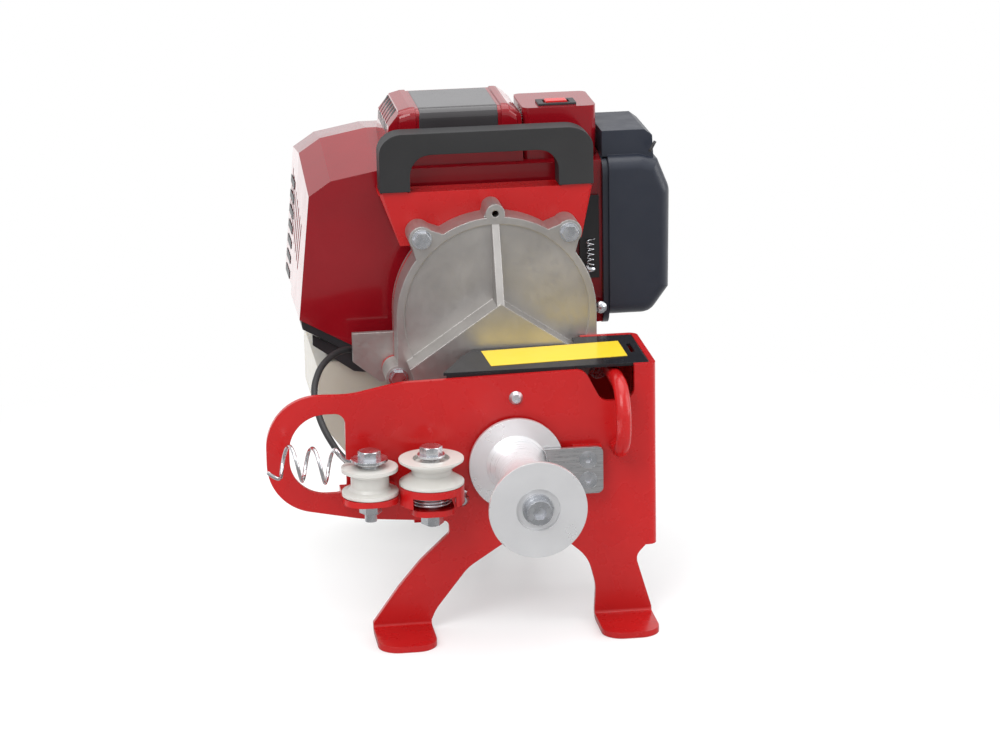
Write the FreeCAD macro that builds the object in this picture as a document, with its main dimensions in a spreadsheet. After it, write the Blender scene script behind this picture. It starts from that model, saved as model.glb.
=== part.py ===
"""Petrol capstan winch: folded sheet frame, reduction gearbox, capstan drum and small engine.

Millimetres, +Z up. The drum axis lies on X = 0 and runs along Y, the frame's front face is Y = 0 and
the feet stand on Z = 0. Every piece is then shifted so that the origin is the bottom centre of the winch.
"""
import FreeCAD, Part
import math
import os
import re
import Sketcher
from FreeCAD import Placement, Rotation, Vector

os.makedirs("parts", exist_ok=True)
doc = FreeCAD.newDocument("petrol_winch")
sheet = doc.addObject("Spreadsheet::Sheet", "dims")

# Driving dimensions: alias, value or sheet formula, meaning
DIMENSIONS = [
    ("origin_x", 0, "shift that brings the origin to the bottom centre"),
    ("origin_y", 0, "shift that brings the origin to the bottom centre"),
    ("running_gap", 0.05, "radial clearance of a running fit"),
    ("side_gap", 0.4, "clearance between pieces that turn side by side"),
    ("sheet_wall", 4, "frame sheet"),
    ("bend_radius", 6, "outer radius of the frame's folds"),
    ("plate_top", 174, "top edge of the front plate"),
    ("plate_right", 95, "right side of the frame"),
    ("frame_depth", 78, "front face to rear face of the folded frame"),
    ("web_low", 50.5, "lower edge of the side web"),
    ("brow_x", 75, "where the top edge starts to drop to the loop"),
    ("loop_reach", 164, "left end of the loop"),
    ("loop_top", 167, "top of the loop"),
    ("loop_low", 93, "lower left corner of the loop before rounding"),
    ("loop_radius", 34, "rounding of the loop's outer corners"),
    ("eye_left", 149, "loop opening"),
    ("eye_right", 112, "loop opening"),
    ("eye_top", 153.5, "loop opening"),
    ("eye_low", 99, "loop opening"),
    ("eye_radius", 24, "rounding of the loop opening's far side"),
    ("arm_low", 80.5, "lower edge of the arm that carries the rollers"),
    ("gap_x", 45, "end of the gap between arm and left leg"),
    ("gap_top", 75.5, "gap between arm and left leg"),
    ("gap_low", 66.8, "gap between arm and left leg"),
    ("left_foot_out", 97, "left foot"),
    ("left_foot_in", 58, "left foot"),
    ("knee_x", 80, "outer side of the left leg"),
    ("knee_z", 30.5, "outer side of the left leg"),
    ("arch_top", 60, "arch between the legs"),
    ("right_foot_in", 52, "right foot"),
    ("right_foot_out", 90.5, "right foot"),
    ("ankle_x", 80, "waist of the right leg"),
    ("ankle_z", 43, "waist of the right leg"),
    ("leg_radius", 28, "rounding along the legs"),
    ("foot_reach", 41, "feet ahead of the front face"),
    ("notch_left", 47, "corner notch behind the rope hook"),
    ("notch_in", 58, "corner notch behind the rope hook"),
    ("notch_right", 80, "corner notch behind the rope hook"),
    ("notch_low", 152, "corner notch behind the rope hook"),
    ("hook_x", 68, "rope hook bar"),
    ("hook_d", 10, "rope hook bar"),
    ("hook_top", 167, "rope hook bar, centre of its upper run"),
    ("hook_low", 121, "rope hook bar, centre of its welded end"),
    ("hook_reach", 27, "rope hook bar ahead of the front face"),
    ("cover_wall", 2, "black top cover"),
    ("cover_left", 46, "black top cover"),
    ("drum_z", 113.3, "height of the drum axis"),
    ("drum_flange_d", 63, "drum flanges"),
    ("drum_flange_wall", 3, "drum flanges"),
    ("drum_back_gap", 3, "frame to rear drum flange"),
    ("drum_length", 99, "over both flanges"),
    ("barrel_d", 31, "narrowest part of the drum"),
    ("barrel_end_d", 40, "drum barrel at the flanges"),
    ("barrel_taper", 25, "length of each tapered end of the barrel"),
    ("drum_recess_d", 28, "recess in the front flange"),
    ("drum_recess", 3, "depth of the recess in the front flange"),
    ("output_d", 17, "drum shaft"),
    ("drum_bolt_d", 10, "screw that holds the drum"),
    ("drum_washer_d", 20, "washer under the drum screw"),
    ("stripper_wall", 3, "rope stripper plate"),
    ("stripper_left", 18, "rope stripper plate"),
    ("stripper_right", 57, "rope stripper plate"),
    ("stripper_low", 92, "rope stripper plate"),
    ("stripper_top", 124, "rope stripper plate"),
    ("stripper_screw_x", 47, "stripper screws"),
    ("stripper_screw_pitch", 14, "stripper screws"),
    ("idler_x", 99, "plain roller axis"),
    ("idler_y", 24, "plain roller axis ahead of the front face"),
    ("idler_d", 37, "plain roller flanges"),
    ("idler_barrel_d", 25, "plain roller groove"),
    ("idler_flange_wall", 2.4, "plain roller flanges"),
    ("idler_length", 18.5, "plain roller"),
    ("shelf_z", 101, "underside of the shelf that carries the plain roller"),
    ("roller_bolt_d", 8, "roller bolts"),
    ("bush_d", 12, "roller bushes"),
    ("bolt_flats", 13, "hexagon of the roller bolts"),
    ("bolt_head", 5.3, "head of the roller bolts"),
    ("washer_wall", 1.6, "washers"),
    ("washer_d", 18, "washers"),
    ("vee_x", 59, "V-groove roller axis"),
    ("vee_y", 27, "V-groove roller axis ahead of the front face"),
    ("vee_d", 42.5, "V-groove roller"),
    ("vee_root_d", 26, "V-groove roller"),
    ("vee_length", 17, "V-groove roller"),
    ("vee_recess_d", 24, "recess in the top of the V-groove roller"),
    ("arm_top", 111, "top of the sprung arm"),
    ("arm_length", 12.5, "height of the sprung arm's cup"),
    ("arm_wall", 2.5, "wall of the sprung arm's cup"),
    ("lug_z", 92, "underside of the lug below the sprung arm"),
    ("spring_wire", 2, "torsion spring wire"),
    ("spring_turns", 3, "torsion spring turns"),
    ("spring_radius", 11.8, "torsion spring, centre of its wire"),
    ("pigtail_wire", 2.5, "pigtail rope guide"),
    ("pigtail_radius", 11, "pigtail rope guide, centre line"),
    ("pigtail_pitch", 14.9, "pigtail rope guide"),
    ("pigtail_turns", 2.6, "pigtail rope guide"),
    ("pigtail_rise", 0.15, "rise of the pigtail's axis towards its free end"),
    ("crank_z", 193, "height of the crankshaft"),
    ("box_back", 102, "rear face of the gearbox cover"),
    ("box_radius", 68, "gearbox outline"),
    ("box_wall", 4, "gearbox castings"),
    ("nose_depth", 20, "raised lower part of the gearbox cover"),
    ("nose_top", 206, "apex of the raised part"),
    ("nose_shoulder", 164, "raised part where its roof ends"),
    ("nose_half", 62, "raised part where its roof ends"),
    ("nose_radius", 43, "raised part round the drum shaft"),
    ("low_radius", 56, "gearbox flange round the drum shaft"),
    ("boss_d", 17, "screw bosses"),
    ("upper_boss_x", 50, "upper screw bosses"),
    ("upper_boss_z", 248.3, "upper screw bosses"),
    ("lower_boss_x", 68, "lower screw bosses"),
    ("lower_boss_z", 153, "lower screw bosses"),
    ("lug_boss_z", 263.3, "unused threaded boss on top of the gearbox"),
    ("lug_boss_d", 13, "unused threaded boss on top of the gearbox"),
    ("lug_hole_d", 4.6, "unused threaded boss on top of the gearbox"),
    ("gear_x", 20.2, "second gear shaft beside the crank axis"),
    ("fast_module", 1.25, "first gear pair"),
    ("slow_module", 1.5, "second gear pair"),
    ("pinion_teeth", 11, "both pinions"),
    ("first_teeth", 66, "gear of the first pair"),
    ("second_teeth", 44, "gear of the second pair"),
    ("gear_width", 8, "gears"),
    ("bracket_wall", 3, "handle bracket sheet"),
    ("handle_half", 73, "half width of the handle"),
    ("handle_top", 321, "top of the handle"),
    ("handle_low", 275, "where the grip ends and the red bracket shows"),
    ("grip_inner_half", 51, "half width of the hand opening"),
    ("grip_inner_top", 304, "top of the hand opening"),
    ("grip_radius", 18, "outer corners of the handle"),
    ("flange_depth", 18, "edge flange of the handle"),
    ("engine_face", 125, "front of the engine shroud"),
    ("engine_back", 250, "rear of the engine shroud"),
    ("shroud_wall", 2.5, "engine shroud"),
    ("cleaner_in", 80, "inner side of the air cleaner"),
    ("cleaner_out", 129, "outer side of the air cleaner"),
    ("cleaner_low", 178, "bottom of the air cleaner"),
    ("cleaner_top", 290, "top of the air cleaner"),
    ("cleaner_front", 118, "front of the air cleaner"),
    ("cleaner_back", 205, "rear of the air cleaner"),
    ("tank_low", 62, "underside of the fuel tank"),
    ("tank_top", 150, "top of the fuel tank"),
    ("bore_d", 42, "cylinder bore"),
    ("cable_d", 4.5, "throttle cable"),
    ("bearing_d", 35, "drum shaft bearings"),
    ("bearing_width", 10, "drum shaft bearings"),
    ("input_d", 12, "gearbox input shaft"),
    ("input_bearing_d", 28, "gearbox input bearing"),
    ("input_bearing_width", 8, "gearbox input bearing"),
    ("lay_d", 10, "gearbox intermediate shaft"),
    ("stripper_gap", 7, "front face of the frame to the back of the stripper plate"),
    ("stripper_screw_d", 6, "stripper screws"),
    ("dome_screw_d", 5, "dome head screws in the front plate"),
    ("dome_x", 1, "screw of the top cover's lip"),
    ("dome_z", 157.5, "screw of the top cover's lip"),
    ("stop_x", 36, "screw that stops the torsion spring"),
    ("stop_z", 89.5, "screw that stops the torsion spring"),
    ("cable_stop_x", 85, "cable stop behind the front plate"),
    ("cable_start_y", 12, "cable stop behind the front plate"),
    ("cable_start_z", 107, "cable stop behind the front plate"),
    ("lever_reach", 14, "sprung arm's lever behind the front plate"),
    ("idler_seat", 128, "washer above the plain roller"),
    ("vee_seat", 129.6, "washer above the V-groove roller"),
    ("idler_washer_d", 24, "wide washer above the plain roller"),
    ("nut_length", 6.5, "nuts below the rollers"),
    ("hook_bend", 20, "rope hook bar, radius of its bends"),
    ("case_screw_d", 6, "screws round the gearbox"),
    ("foot_boss_x", 46, "lowest screw bosses of the gearbox"),
    ("foot_boss_z", 76, "lowest screw bosses of the gearbox"),
    ("rim_depth", 1.5, "recess inside the gearbox rim"),
    ("bell_d", 100, "clutch bell"),
    ("clutch_d", 82, "clutch drum"),
    ("clutch_length", 13, "clutch drum"),
    ("clutch_start", 117, "front of the clutch drum"),
    ("crank_nose_d", 12, "crankshaft ends"),
    ("crank_d", 15, "crankshaft"),
    ("engine_front", 131, "front of the crankcase"),
    ("fan_front", 186, "rear of the crankcase"),
    ("fan_d", 92, "flywheel"),
    ("fan_housing_d", 116, "fan and starter housing"),
    ("recoil_depth", 56, "fan and starter housing"),
    ("spool_post_d", 12, "post of the starter spool"),
    ("rope_x", 28, "starter rope"),
    ("rope_d", 3.5, "starter rope"),
    ("crankcase_half", 44, "half width of the crankcase"),
    ("cylinder_y", 158, "cylinder axis"),
    ("port_y", 168, "intake and exhaust ports"),
    ("head_top", 283, "cylinder head"),
    ("fin_half", 36, "cooling fins, half width"),
    ("fin_reach", 26.5, "cooling fins, ahead of and behind the cylinder axis"),
    ("fin_pitch", 6.4, "cooling fins"),
    ("fin_wall", 2.2, "cooling fins"),
    ("handle_x", -2.5, "middle of the handle"),
    ("grip_wall", 2.5, "soft sleeve on the handle"),
    ("shroud_left", 130, "left side of the shroud"),
    ("shroud_right", 80, "right side of the shroud"),
    ("shroud_top", 302, "top of the shroud"),
    ("hood_left", 68, "raised top cover"),
    ("hood_right", 27, "raised top cover"),
    ("hood_front", 130, "raised top cover"),
    ("hood_back", 196, "raised top cover"),
    ("hood_top", 332, "raised top cover"),
    ("switch_x", 52, "stop switch"),
    ("tank_left", 118, "fuel tank"),
    ("tank_right", 62, "fuel tank"),
    ("tank_front", 137, "fuel tank"),
    ("tank_back", 246, "fuel tank"),
    ("guard_half", 50, "plate below the tank, half width"),
    ("stand_x", 24, "middle of the rear stand"),
    ("stand_half", 14, "rear stand, half width of its top"),
    ("stand_spread", 26, "feet from the stand's middle"),
    ("stand_front", 200, "rear stand"),
    ("stand_back", 242, "rear stand"),
    ("foot_pad", 8, "rubber feet of the rear stand"),
    ("cap_x", -92, "fuel cap"),
    ("cap_y", 220, "fuel cap"),
    ("cap_front", 196, "notch of the shroud over the fuel cap"),
    # sizes worked out from the ones above
    ("body_face", "=box_back + bracket_wall", "front of the gearbox's rear half"),
    ("nose_face", "=frame_depth - nose_depth", "front of the gearbox's raised part"),
    ("slow_centres", "=slow_module * (pinion_teeth + second_teeth) / 2", "axes of the second gear pair"),
    ("gear_z", "=drum_z + sqrt(slow_centres^2 - gear_x^2)", "intermediate shaft"),
    ("fast_start", "=frame_depth + 6", "first gear pair"),
    ("slow_start", "=nose_face + 8", "second gear pair"),
]

for row, (alias, value, meaning) in enumerate(DIMENSIONS, start=1):
    sheet.set("A%d" % row, alias)
    sheet.set("B%d" % row, str(value))
    sheet.setAlias("B%d" % row, alias)
    sheet.set("C%d" % row, meaning)
doc.recompute()

WORD = re.compile(r"[a-z]\w*")
FUNCTIONS = ("sin", "cos", "tan", "sqrt")
PARTS = []


def formula(text):
    """Turn alias names in a text into a formula that reads the sheet."""
    return WORD.sub(lambda m: m.group(0) if m.group(0) in FUNCTIONS else "dims." + m.group(0), str(text))


def mm(alias):
    """Value of one driving dimension."""
    return float(sheet.get(alias))


def bind(item, prop, text):
    item.setExpression(prop, formula(text))


TURNS = {
    "+Z": Rotation(),
    "-Z": Rotation(Vector(1, 0, 0), 180),
    "+Y": Rotation(Vector(1, 0, 0), -90),
    "-Y": Rotation(Vector(1, 0, 0), 90),
    "+X": Rotation(Vector(0, 1, 0), 90),
    "-X": Rotation(Vector(0, 1, 0), -90),
}


def place(item, x=0, y=0, z=0, axis="+Z"):
    """Put an object at x, y, z with its own Z along axis, in the shifted frame."""
    item.Placement = Placement(Vector(), TURNS[axis])
    bind(item, ".Placement.Base.x", "origin_x + %s" % x)
    bind(item, ".Placement.Base.y", "origin_y + %s" % y)
    bind(item, ".Placement.Base.z", z)
    return item


def put(item, x=0, y=0, z=0, axis="+Z"):
    """Put a tool or member of a boolean, which the boolean itself then shifts."""
    item.Placement = Placement(Vector(), TURNS[axis])
    bind(item, ".Placement.Base.x", x)
    bind(item, ".Placement.Base.y", y)
    bind(item, ".Placement.Base.z", z)
    return item


def keep(item, label):
    """Name an object as one of the winch's pieces."""
    item.Label = label
    PARTS.append(item)
    return item


# PartDesign bodies


def new_body(label):
    body = doc.addObject("PartDesign::Body", label)
    return keep(body, label)


def new_sketch(body, plane, level=0):
    """Sketch on one of the body's own origin planes, at a level along +X, +Y or +Z."""
    sketch = body.newObject("Sketcher::SketchObject", body.Name + "_sketch")
    support = [item for item in body.Origin.OriginFeatures if item.Role == plane + "_Plane"]
    sketch.AttachmentSupport = [(support[0], "")]
    sketch.MapMode = "FlatFace"
    sign = "-1 * (%s)" if plane == "XZ" else "%s"
    bind(sketch, ".AttachmentOffset.Base.z", sign % level)
    return sketch


def hold(sketch, index, point, x, y):
    """Fix a sketch point by two dimensions read from the sheet."""
    for kind, text in (("DistanceX", x), ("DistanceY", y)):
        number = sketch.addConstraint(Sketcher.Constraint(kind, -1, 1, index, point, 1.0))
        bind(sketch, "Constraints[%d]" % number, text)


def draw_polygon(sketch, points):
    count = len(points)
    first = sketch.GeometryCount
    turns = [2 * math.pi * i / count for i in range(count)]
    corners = [Vector(math.cos(turn), math.sin(turn), 0) for turn in turns]
    for i in range(count):
        sketch.addGeometry(Part.LineSegment(corners[i], corners[(i + 1) % count]), False)
    for i in range(count):
        sketch.addConstraint(Sketcher.Constraint("Coincident", first + i, 2, first + (i + 1) % count, 1))
    for i, (x, y) in enumerate(points):
        hold(sketch, first + i, 1, x, y)


def draw_circle(sketch, x, y, diameter):
    index = sketch.addGeometry(Part.Circle(Vector(0, 0, 0), Vector(0, 0, 1), 1.0), False)
    hold(sketch, index, 3, x, y)
    number = sketch.addConstraint(Sketcher.Constraint("Diameter", index, 2.0))
    bind(sketch, "Constraints[%d]" % number, diameter)


def draw(sketch, outline):
    """Outline is a list of corners, or a circle given as (x, y, diameter)."""
    if isinstance(outline, tuple):
        draw_circle(sketch, *outline)
    else:
        draw_polygon(sketch, outline)


def add(body, plane, outlines, start, end):
    """Pad outlines from one level to a higher one."""
    sketch = new_sketch(body, plane, start)
    for outline in outlines:
        draw(sketch, outline)
    pad = body.newObject("PartDesign::Pad", body.Name + "_pad")
    pad.Profile = sketch
    bind(pad, "Length", "(%s) - (%s)" % (end, start))
    pad.Reversed = plane == "XZ"
    body.Tip = pad
    return pad


def cut(body, plane, outlines, start, end):
    """Pocket outlines from one level to a higher one."""
    sketch = new_sketch(body, plane, start)
    for outline in outlines:
        draw(sketch, outline)
    pocket = body.newObject("PartDesign::Pocket", body.Name + "_pocket")
    pocket.Profile = sketch
    bind(pocket, "Length", "(%s) - (%s)" % (end, start))
    pocket.Reversed = plane != "XZ"
    body.Tip = pocket
    return pocket


def lathe(label, profile, x, y, z, axis):
    """Turned piece: profile corners are (diameter, height) along its own axis."""
    body = new_body(label)
    sketch = new_sketch(body, "XZ")
    draw_polygon(sketch, [("(%s) / 2" % d, h) for d, h in profile])
    turn = body.newObject("PartDesign::Revolution", label + "_turn")
    turn.Profile = sketch
    turn.ReferenceAxis = (sketch, ["V_Axis"])
    turn.Angle = 360
    body.Tip = turn
    return place(body, x, y, z, axis)


def edges_where(shape, test):
    return ["Edge%d" % (i + 1) for i, edge in enumerate(shape.Edges) if test(edge)]


def along(edge, direction):
    """True for a straight edge that runs along a direction."""
    if not isinstance(edge.Curve, Part.Line):
        return False
    run = edge.Vertexes[-1].Point.sub(edge.Vertexes[0].Point)
    return run.Length > 0 and abs(abs(run.normalize().dot(direction)) - 1) < 1e-6


def near(edge, **place_at):
    """True where the edge's middle lies at the given coordinates."""
    centre = edge.CenterOfMass
    return all(abs(getattr(centre, axis) - value) < 0.05 for axis, value in place_at.items())


def round_where(body, radius, test):
    """Round the edges of the body's last feature that pass a test."""
    doc.recompute()
    before = body.Tip
    names = edges_where(before.Shape, test)
    fillet = body.newObject("PartDesign::Fillet", body.Name + "_fillet")
    fillet.Base = (before, names)
    bind(fillet, "Radius", radius)
    body.Tip = fillet
    return fillet


Y_AXIS = Vector(0, 1, 0)
X_AXIS = Vector(1, 0, 0)
Z_AXIS = Vector(0, 0, 1)


def upright_at(*corners):
    """Test for edges along Y through given X, Z corners."""
    def test(edge):
        if not along(edge, Y_AXIS):
            return False
        return any(near(edge, x=x, z=z) for x, z in corners)
    return test


def standing_at(*corners):
    """Test for edges along Z through given X, Y corners."""
    def test(edge):
        if not along(edge, Z_AXIS):
            return False
        return any(near(edge, x=x, y=y) for x, y in corners)
    return test


def lying_at(*corners):
    """Test for edges along X through given Y, Z corners."""
    def test(edge):
        if not along(edge, X_AXIS):
            return False
        return any(near(edge, y=y, z=z) for y, z in corners)
    return test


# Part primitives and booleans


def cylinder(diameter, length, x=0, y=0, z=0, axis="+Z"):
    item = doc.addObject("Part::Cylinder", "cylinder")
    bind(item, "Radius", "(%s) / 2" % diameter)
    bind(item, "Height", length)
    return put(item, x, y, z, axis)


def cone(bottom, top, length, x=0, y=0, z=0, axis="+Z"):
    item = doc.addObject("Part::Cone", "cone")
    bind(item, "Radius1", "(%s) / 2" % bottom)
    bind(item, "Radius2", "(%s) / 2" % top)
    bind(item, "Height", length)
    return put(item, x, y, z, axis)


def hexagon(flats, length, x=0, y=0, z=0, axis="+Z"):
    item = doc.addObject("Part::Prism", "hexagon")
    item.Polygon = 6
    bind(item, "Circumradius", "(%s) / sqrt(3)" % flats)
    bind(item, "Height", length)
    return put(item, x, y, z, axis)


def bolt_hexagon(flats, length, x=0, y=0, z=0, axis="+Z"):
    """Hexagon whose corners are turned off at the far end."""
    item = doc.addObject("Part::MultiCommon", "bolt_hexagon")
    turned = cone("(%s) + 3.4 * (%s)" % (flats, length), flats, length, x, y, z, axis)
    item.Shapes = [hexagon(flats, length, x, y, z, axis), turned]
    return item


def block(x0, x1, y0, y1, z0, z1):
    item = doc.addObject("Part::Box", "block")
    bind(item, "Length", "(%s) - (%s)" % (x1, x0))
    bind(item, "Width", "(%s) - (%s)" % (y1, y0))
    bind(item, "Height", "(%s) - (%s)" % (z1, z0))
    return put(item, x0, y0, z0)


def fuse(*items):
    item = doc.addObject("Part::MultiFuse", "fuse")
    item.Shapes = list(items)
    item.Refine = True
    return item


def minus(base, *tools):
    item = doc.addObject("Part::Cut", "cut")
    item.Base = base
    item.Tool = tools[0] if len(tools) == 1 else fuse(*tools)
    return item


def rounded(base, radius, test):
    doc.recompute()
    item = doc.addObject("Part::Fillet", "rounded")
    item.Base = base
    item.Edges = [(i + 1, radius, radius) for i, edge in enumerate(base.Shape.Edges) if test(edge)]
    return item


def group(*items):
    item = doc.addObject("Part::Compound", "group")
    item.Links = list(items)
    return item


def piece(item, label):
    """Name a boolean as a piece and shift it."""
    return keep(place(item), label)


def solid(shape, label):
    """A piece whose shape is worked out here."""
    item = doc.addObject("Part::Feature", label)
    item.Shape = shape
    return keep(place(item), label)


# Frame


def frame_plate():
    body = place(new_body("frame_plate"))
    outline = [
        ("-1 * brow_x", "plate_top - 2"),
        ("-1 * (brow_x + 33)", "loop_top - 1.5"),
        ("-1 * loop_reach", "loop_top"),
        ("-1 * loop_reach", "loop_low"),
        ("-1 * (brow_x + 28)", "arm_low"),
        ("-1 * gap_x", "gap_top"),
        ("-1 * gap_x", "gap_low"),
        ("-1 * (gap_x + 20)", "gap_low - 18.4"),
        ("-1 * knee_x", "knee_z"),
        ("-1 * left_foot_out", "7"),
        ("-1 * left_foot_out", "0"),
        ("-1 * left_foot_in", "0"),
        ("-1 * left_foot_in", "7"),
        ("-1 * (left_foot_in - 3)", "14"),
        ("-1 * (left_foot_in - 25)", "arch_top - 18"),
        ("-1 * 5", "arch_top"),
        ("30", "arch_top"),
        ("right_foot_in - 4", "arch_top - 16"),
        ("right_foot_in + 1", "24"),
        ("right_foot_in", "7"),
        ("right_foot_in", "0"),
        ("right_foot_out", "0"),
        ("right_foot_out", "7"),
        ("ankle_x", "ankle_z"),
        ("plate_right - 8", "web_low"),
        ("plate_right", "web_low"),
        ("plate_right", "plate_top + 2"),
        ("notch_right", "plate_top + 2"),
        ("notch_right", "notch_low"),
        ("notch_in", "notch_low"),
        ("notch_left", "plate_top"),
    ]
    add(body, "XZ", [outline], 0, "sheet_wall")
    eye = [
        ("-1 * eye_left", "eye_top"),
        ("-1 * eye_left", "eye_low"),
        ("-1 * eye_right", "eye_low"),
        ("-1 * eye_right", "eye_top"),
    ]
    lever_slot = [
        ("-1 * (vee_x + 6.5)", "arm_top - 7"),
        ("-1 * (vee_x + 6.5)", "arm_top + 1"),
        ("-1 * (vee_x - 17)", "arm_top + 1"),
        ("-1 * (vee_x - 17)", "arm_top - 7"),
    ]
    cut(body, "XZ", [eye, lever_slot, (0, "drum_z", "bearing_d + 2 * running_gap")], 0, "sheet_wall")
    x_gap, z_gap = mm("gap_x"), mm("gap_top")
    groups = [
        ("loop_radius", [(-mm("loop_reach"), mm("loop_top")), (-mm("loop_reach"), mm("loop_low"))]),
        ("eye_radius", [(-mm("eye_left"), mm("eye_top")), (-mm("eye_left"), mm("eye_low"))]),
        ("7", [(-mm("eye_right"), mm("eye_top")), (-mm("eye_right"), mm("eye_low"))]),
        ("4", [(-x_gap, z_gap), (-x_gap, mm("gap_low"))]),
        ("leg_radius", [
            (-(mm("left_foot_in") - 3), 14),
            (-(mm("left_foot_in") - 25), mm("arch_top") - 18),
            (-5, mm("arch_top")),
            (30, mm("arch_top")),
            (mm("right_foot_in") - 4, mm("arch_top") - 16),
            (mm("right_foot_in") + 1, 24),
        ]),
        ("60", [
            (-mm("brow_x"), mm("plate_top") - 2),
            (-(mm("brow_x") + 33), mm("loop_top") - 1.5),
            (-(mm("brow_x") + 28), mm("arm_low")),
            (-(mm("gap_x") + 20), mm("gap_low") - 18.4),
            (-mm("knee_x"), mm("knee_z")),
        ]),
        ("8", [
            (mm("ankle_x"), mm("ankle_z")),
            (mm("notch_right"), mm("notch_low")),
            (mm("notch_in"), mm("notch_low")),
        ]),
        ("9", [(mm("notch_left"), mm("plate_top"))]),
    ]
    for radius, corners in groups:
        round_where(body, radius, upright_at(*corners))
    web = [
        ("sheet_wall", "web_low"),
        ("frame_depth", "web_low"),
        ("frame_depth", "plate_top + 2"),
        ("sheet_wall", "plate_top + 2"),
    ]
    add(body, "YZ", [web], "plate_right - sheet_wall", "plate_right")
    rear = [
        ("plate_right - sheet_wall", "web_low"),
        ("plate_right - sheet_wall", "plate_top + 2"),
        ("lower_boss_x - 12", "plate_top + 2"),
        ("lower_boss_x - 12", "lower_boss_z"),
        ("0", "lower_boss_z - 13"),
        ("-1 * (low_radius + 4)", "lower_boss_z - 13"),
        ("-1 * (low_radius + 4)", "web_low"),
    ]
    add(body, "XZ", [rear], "frame_depth - sheet_wall", "frame_depth")
    for outline in nose_outlines("(-1 * side_gap)"):
        cut(body, "XZ", [outline], "frame_depth - sheet_wall", "frame_depth")
    case_holes = [
        ("lower_boss_x", "lower_boss_z", "case_screw_d + 0.6"),
        ("foot_boss_x", "foot_boss_z", "case_screw_d + 0.6"),
        ("-1 * foot_boss_x", "foot_boss_z", "case_screw_d + 0.6"),
    ]
    cut(body, "XZ", case_holes, "frame_depth - sheet_wall", "frame_depth")
    feet = (("left_foot_in", "left_foot_out", "-1"), ("right_foot_in", "right_foot_out", "1"))
    for inner, outer, sign in feet:
        sole = [
            ("%s * %s" % (sign, inner), "-1 * foot_reach"),
            ("%s * %s" % (sign, outer), "-1 * foot_reach"),
            ("%s * %s" % (sign, outer), "0"),
            ("%s * %s" % (sign, inner), "0"),
        ]
        add(body, "XY", [sole], 0, "sheet_wall")
    for name, half, level in (("idler", "idler_d / 2 - 0.5", "shelf_z"), ("vee", "14", "lug_z")):
        shelf = [
            ("-1 * (%s_x + %s)" % (name, half), "0"),
            ("-1 * (%s_x + %s)" % (name, half), "-1 * (%s_y + %s)" % (name, half)),
            ("-1 * (%s_x - (%s))" % (name, half), "-1 * (%s_y + %s)" % (name, half)),
            ("-1 * (%s_x - (%s))" % (name, half), "0"),
        ]
        add(body, "XY", [shelf], level, level + " + sheet_wall")
    bolt_holes = [
        ("-1 * idler_x", "-1 * idler_y", "roller_bolt_d + 0.4"),
        ("-1 * vee_x", "-1 * vee_y", "roller_bolt_d + 0.4"),
    ]
    cut(body, "XY", bolt_holes, "lug_z", "shelf_z + sheet_wall")
    seat = (0, "drum_z", "bearing_d + 11")
    bore = (0, "drum_z", "bearing_d + 2 * running_gap")
    add(body, "XZ", [seat, bore], "sheet_wall", "sheet_wall + bearing_width")
    spacer = [
        ("stripper_screw_x - 9", "stripper_low + 1"),
        ("stripper_right", "stripper_low + 1"),
        ("stripper_right", "stripper_top - 1"),
        ("stripper_screw_x - 9", "stripper_top - 1"),
    ]
    add(body, "XZ", [spacer], "-1 * stripper_gap", 0)
    tab = [
        ("sheet_wall", "arm_top - 10"),
        ("sheet_wall + 14", "arm_top - 10"),
        ("sheet_wall + 14", "arm_top + 2"),
        ("sheet_wall", "arm_top + 2"),
    ]
    wire_hole = ("cable_start_y", "cable_start_z", "2")
    add(body, "YZ", [tab, wire_hole], "-1 * cable_stop_x", "2 - cable_stop_x")
    stripper_holes = [("stripper_screw_x", z, "stripper_screw_d + 0.4") for z in STRIPPER_SCREWS]
    cut(body, "XZ", stripper_holes, "-1 * stripper_gap", "sheet_wall")
    small_holes = [
        ("dome_x", "dome_z", "dome_screw_d + 0.4"),
        ("-1 * stop_x", "stop_z", "dome_screw_d + 0.4"),
    ]
    cut(body, "XZ", small_holes, 0, "sheet_wall")
    right, depth, wall = mm("plate_right"), mm("frame_depth"), mm("sheet_wall")
    outer_folds = [(right, 0), (right, depth)]
    inner_folds = [(right - wall, wall), (right - wall, depth - wall)]
    round_where(body, "bend_radius", standing_at(*outer_folds))
    round_where(body, "bend_radius - sheet_wall", standing_at(*inner_folds))
    reach = -mm("foot_reach")
    toes = [(-mm("left_foot_in"), reach), (-mm("left_foot_out"), reach)]
    toes += [(mm("right_foot_in"), reach), (mm("right_foot_out"), reach)]
    round_where(body, "14", standing_at(*toes))
    round_where(body, "bend_radius", lying_at((wall, 0)))
    round_where(body, "bend_radius - sheet_wall", lying_at((0, wall)))
    idler_half, lug_half = mm("idler_d") / 2 - 0.5, 14
    tips = [(-mm("idler_x") + side * idler_half, -mm("idler_y") - idler_half) for side in (-1, 1)]
    round_where(body, "idler_d / 2 - 5", standing_at(*tips))
    tips = [(-mm("vee_x") + side * lug_half, -mm("vee_y") - lug_half) for side in (-1, 1)]
    round_where(body, "10", standing_at(*tips))
    return body


def bent_path(points, radii):
    """Wire of straight runs joined by tangent arcs."""
    edges = []
    start = points[0]
    for point, ahead, radius in zip(points[1:-1], points[2:], radii):
        into = point.sub(start).normalize()
        out = ahead.sub(point).normalize()
        turn = into.getAngle(out)
        reach = radius * math.tan(turn / 2)
        first = point.sub(into * reach)
        last = point.add(out * reach)
        bisector = out.sub(into).normalize()
        middle = point.add(bisector * (radius / math.cos(turn / 2) - radius))
        edges.append(Part.LineSegment(start, first).toShape())
        edges.append(Part.Arc(first, middle, last).toShape())
        start = last
    edges.append(Part.LineSegment(start, points[-1]).toShape())
    return Part.Wire(edges)


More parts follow.
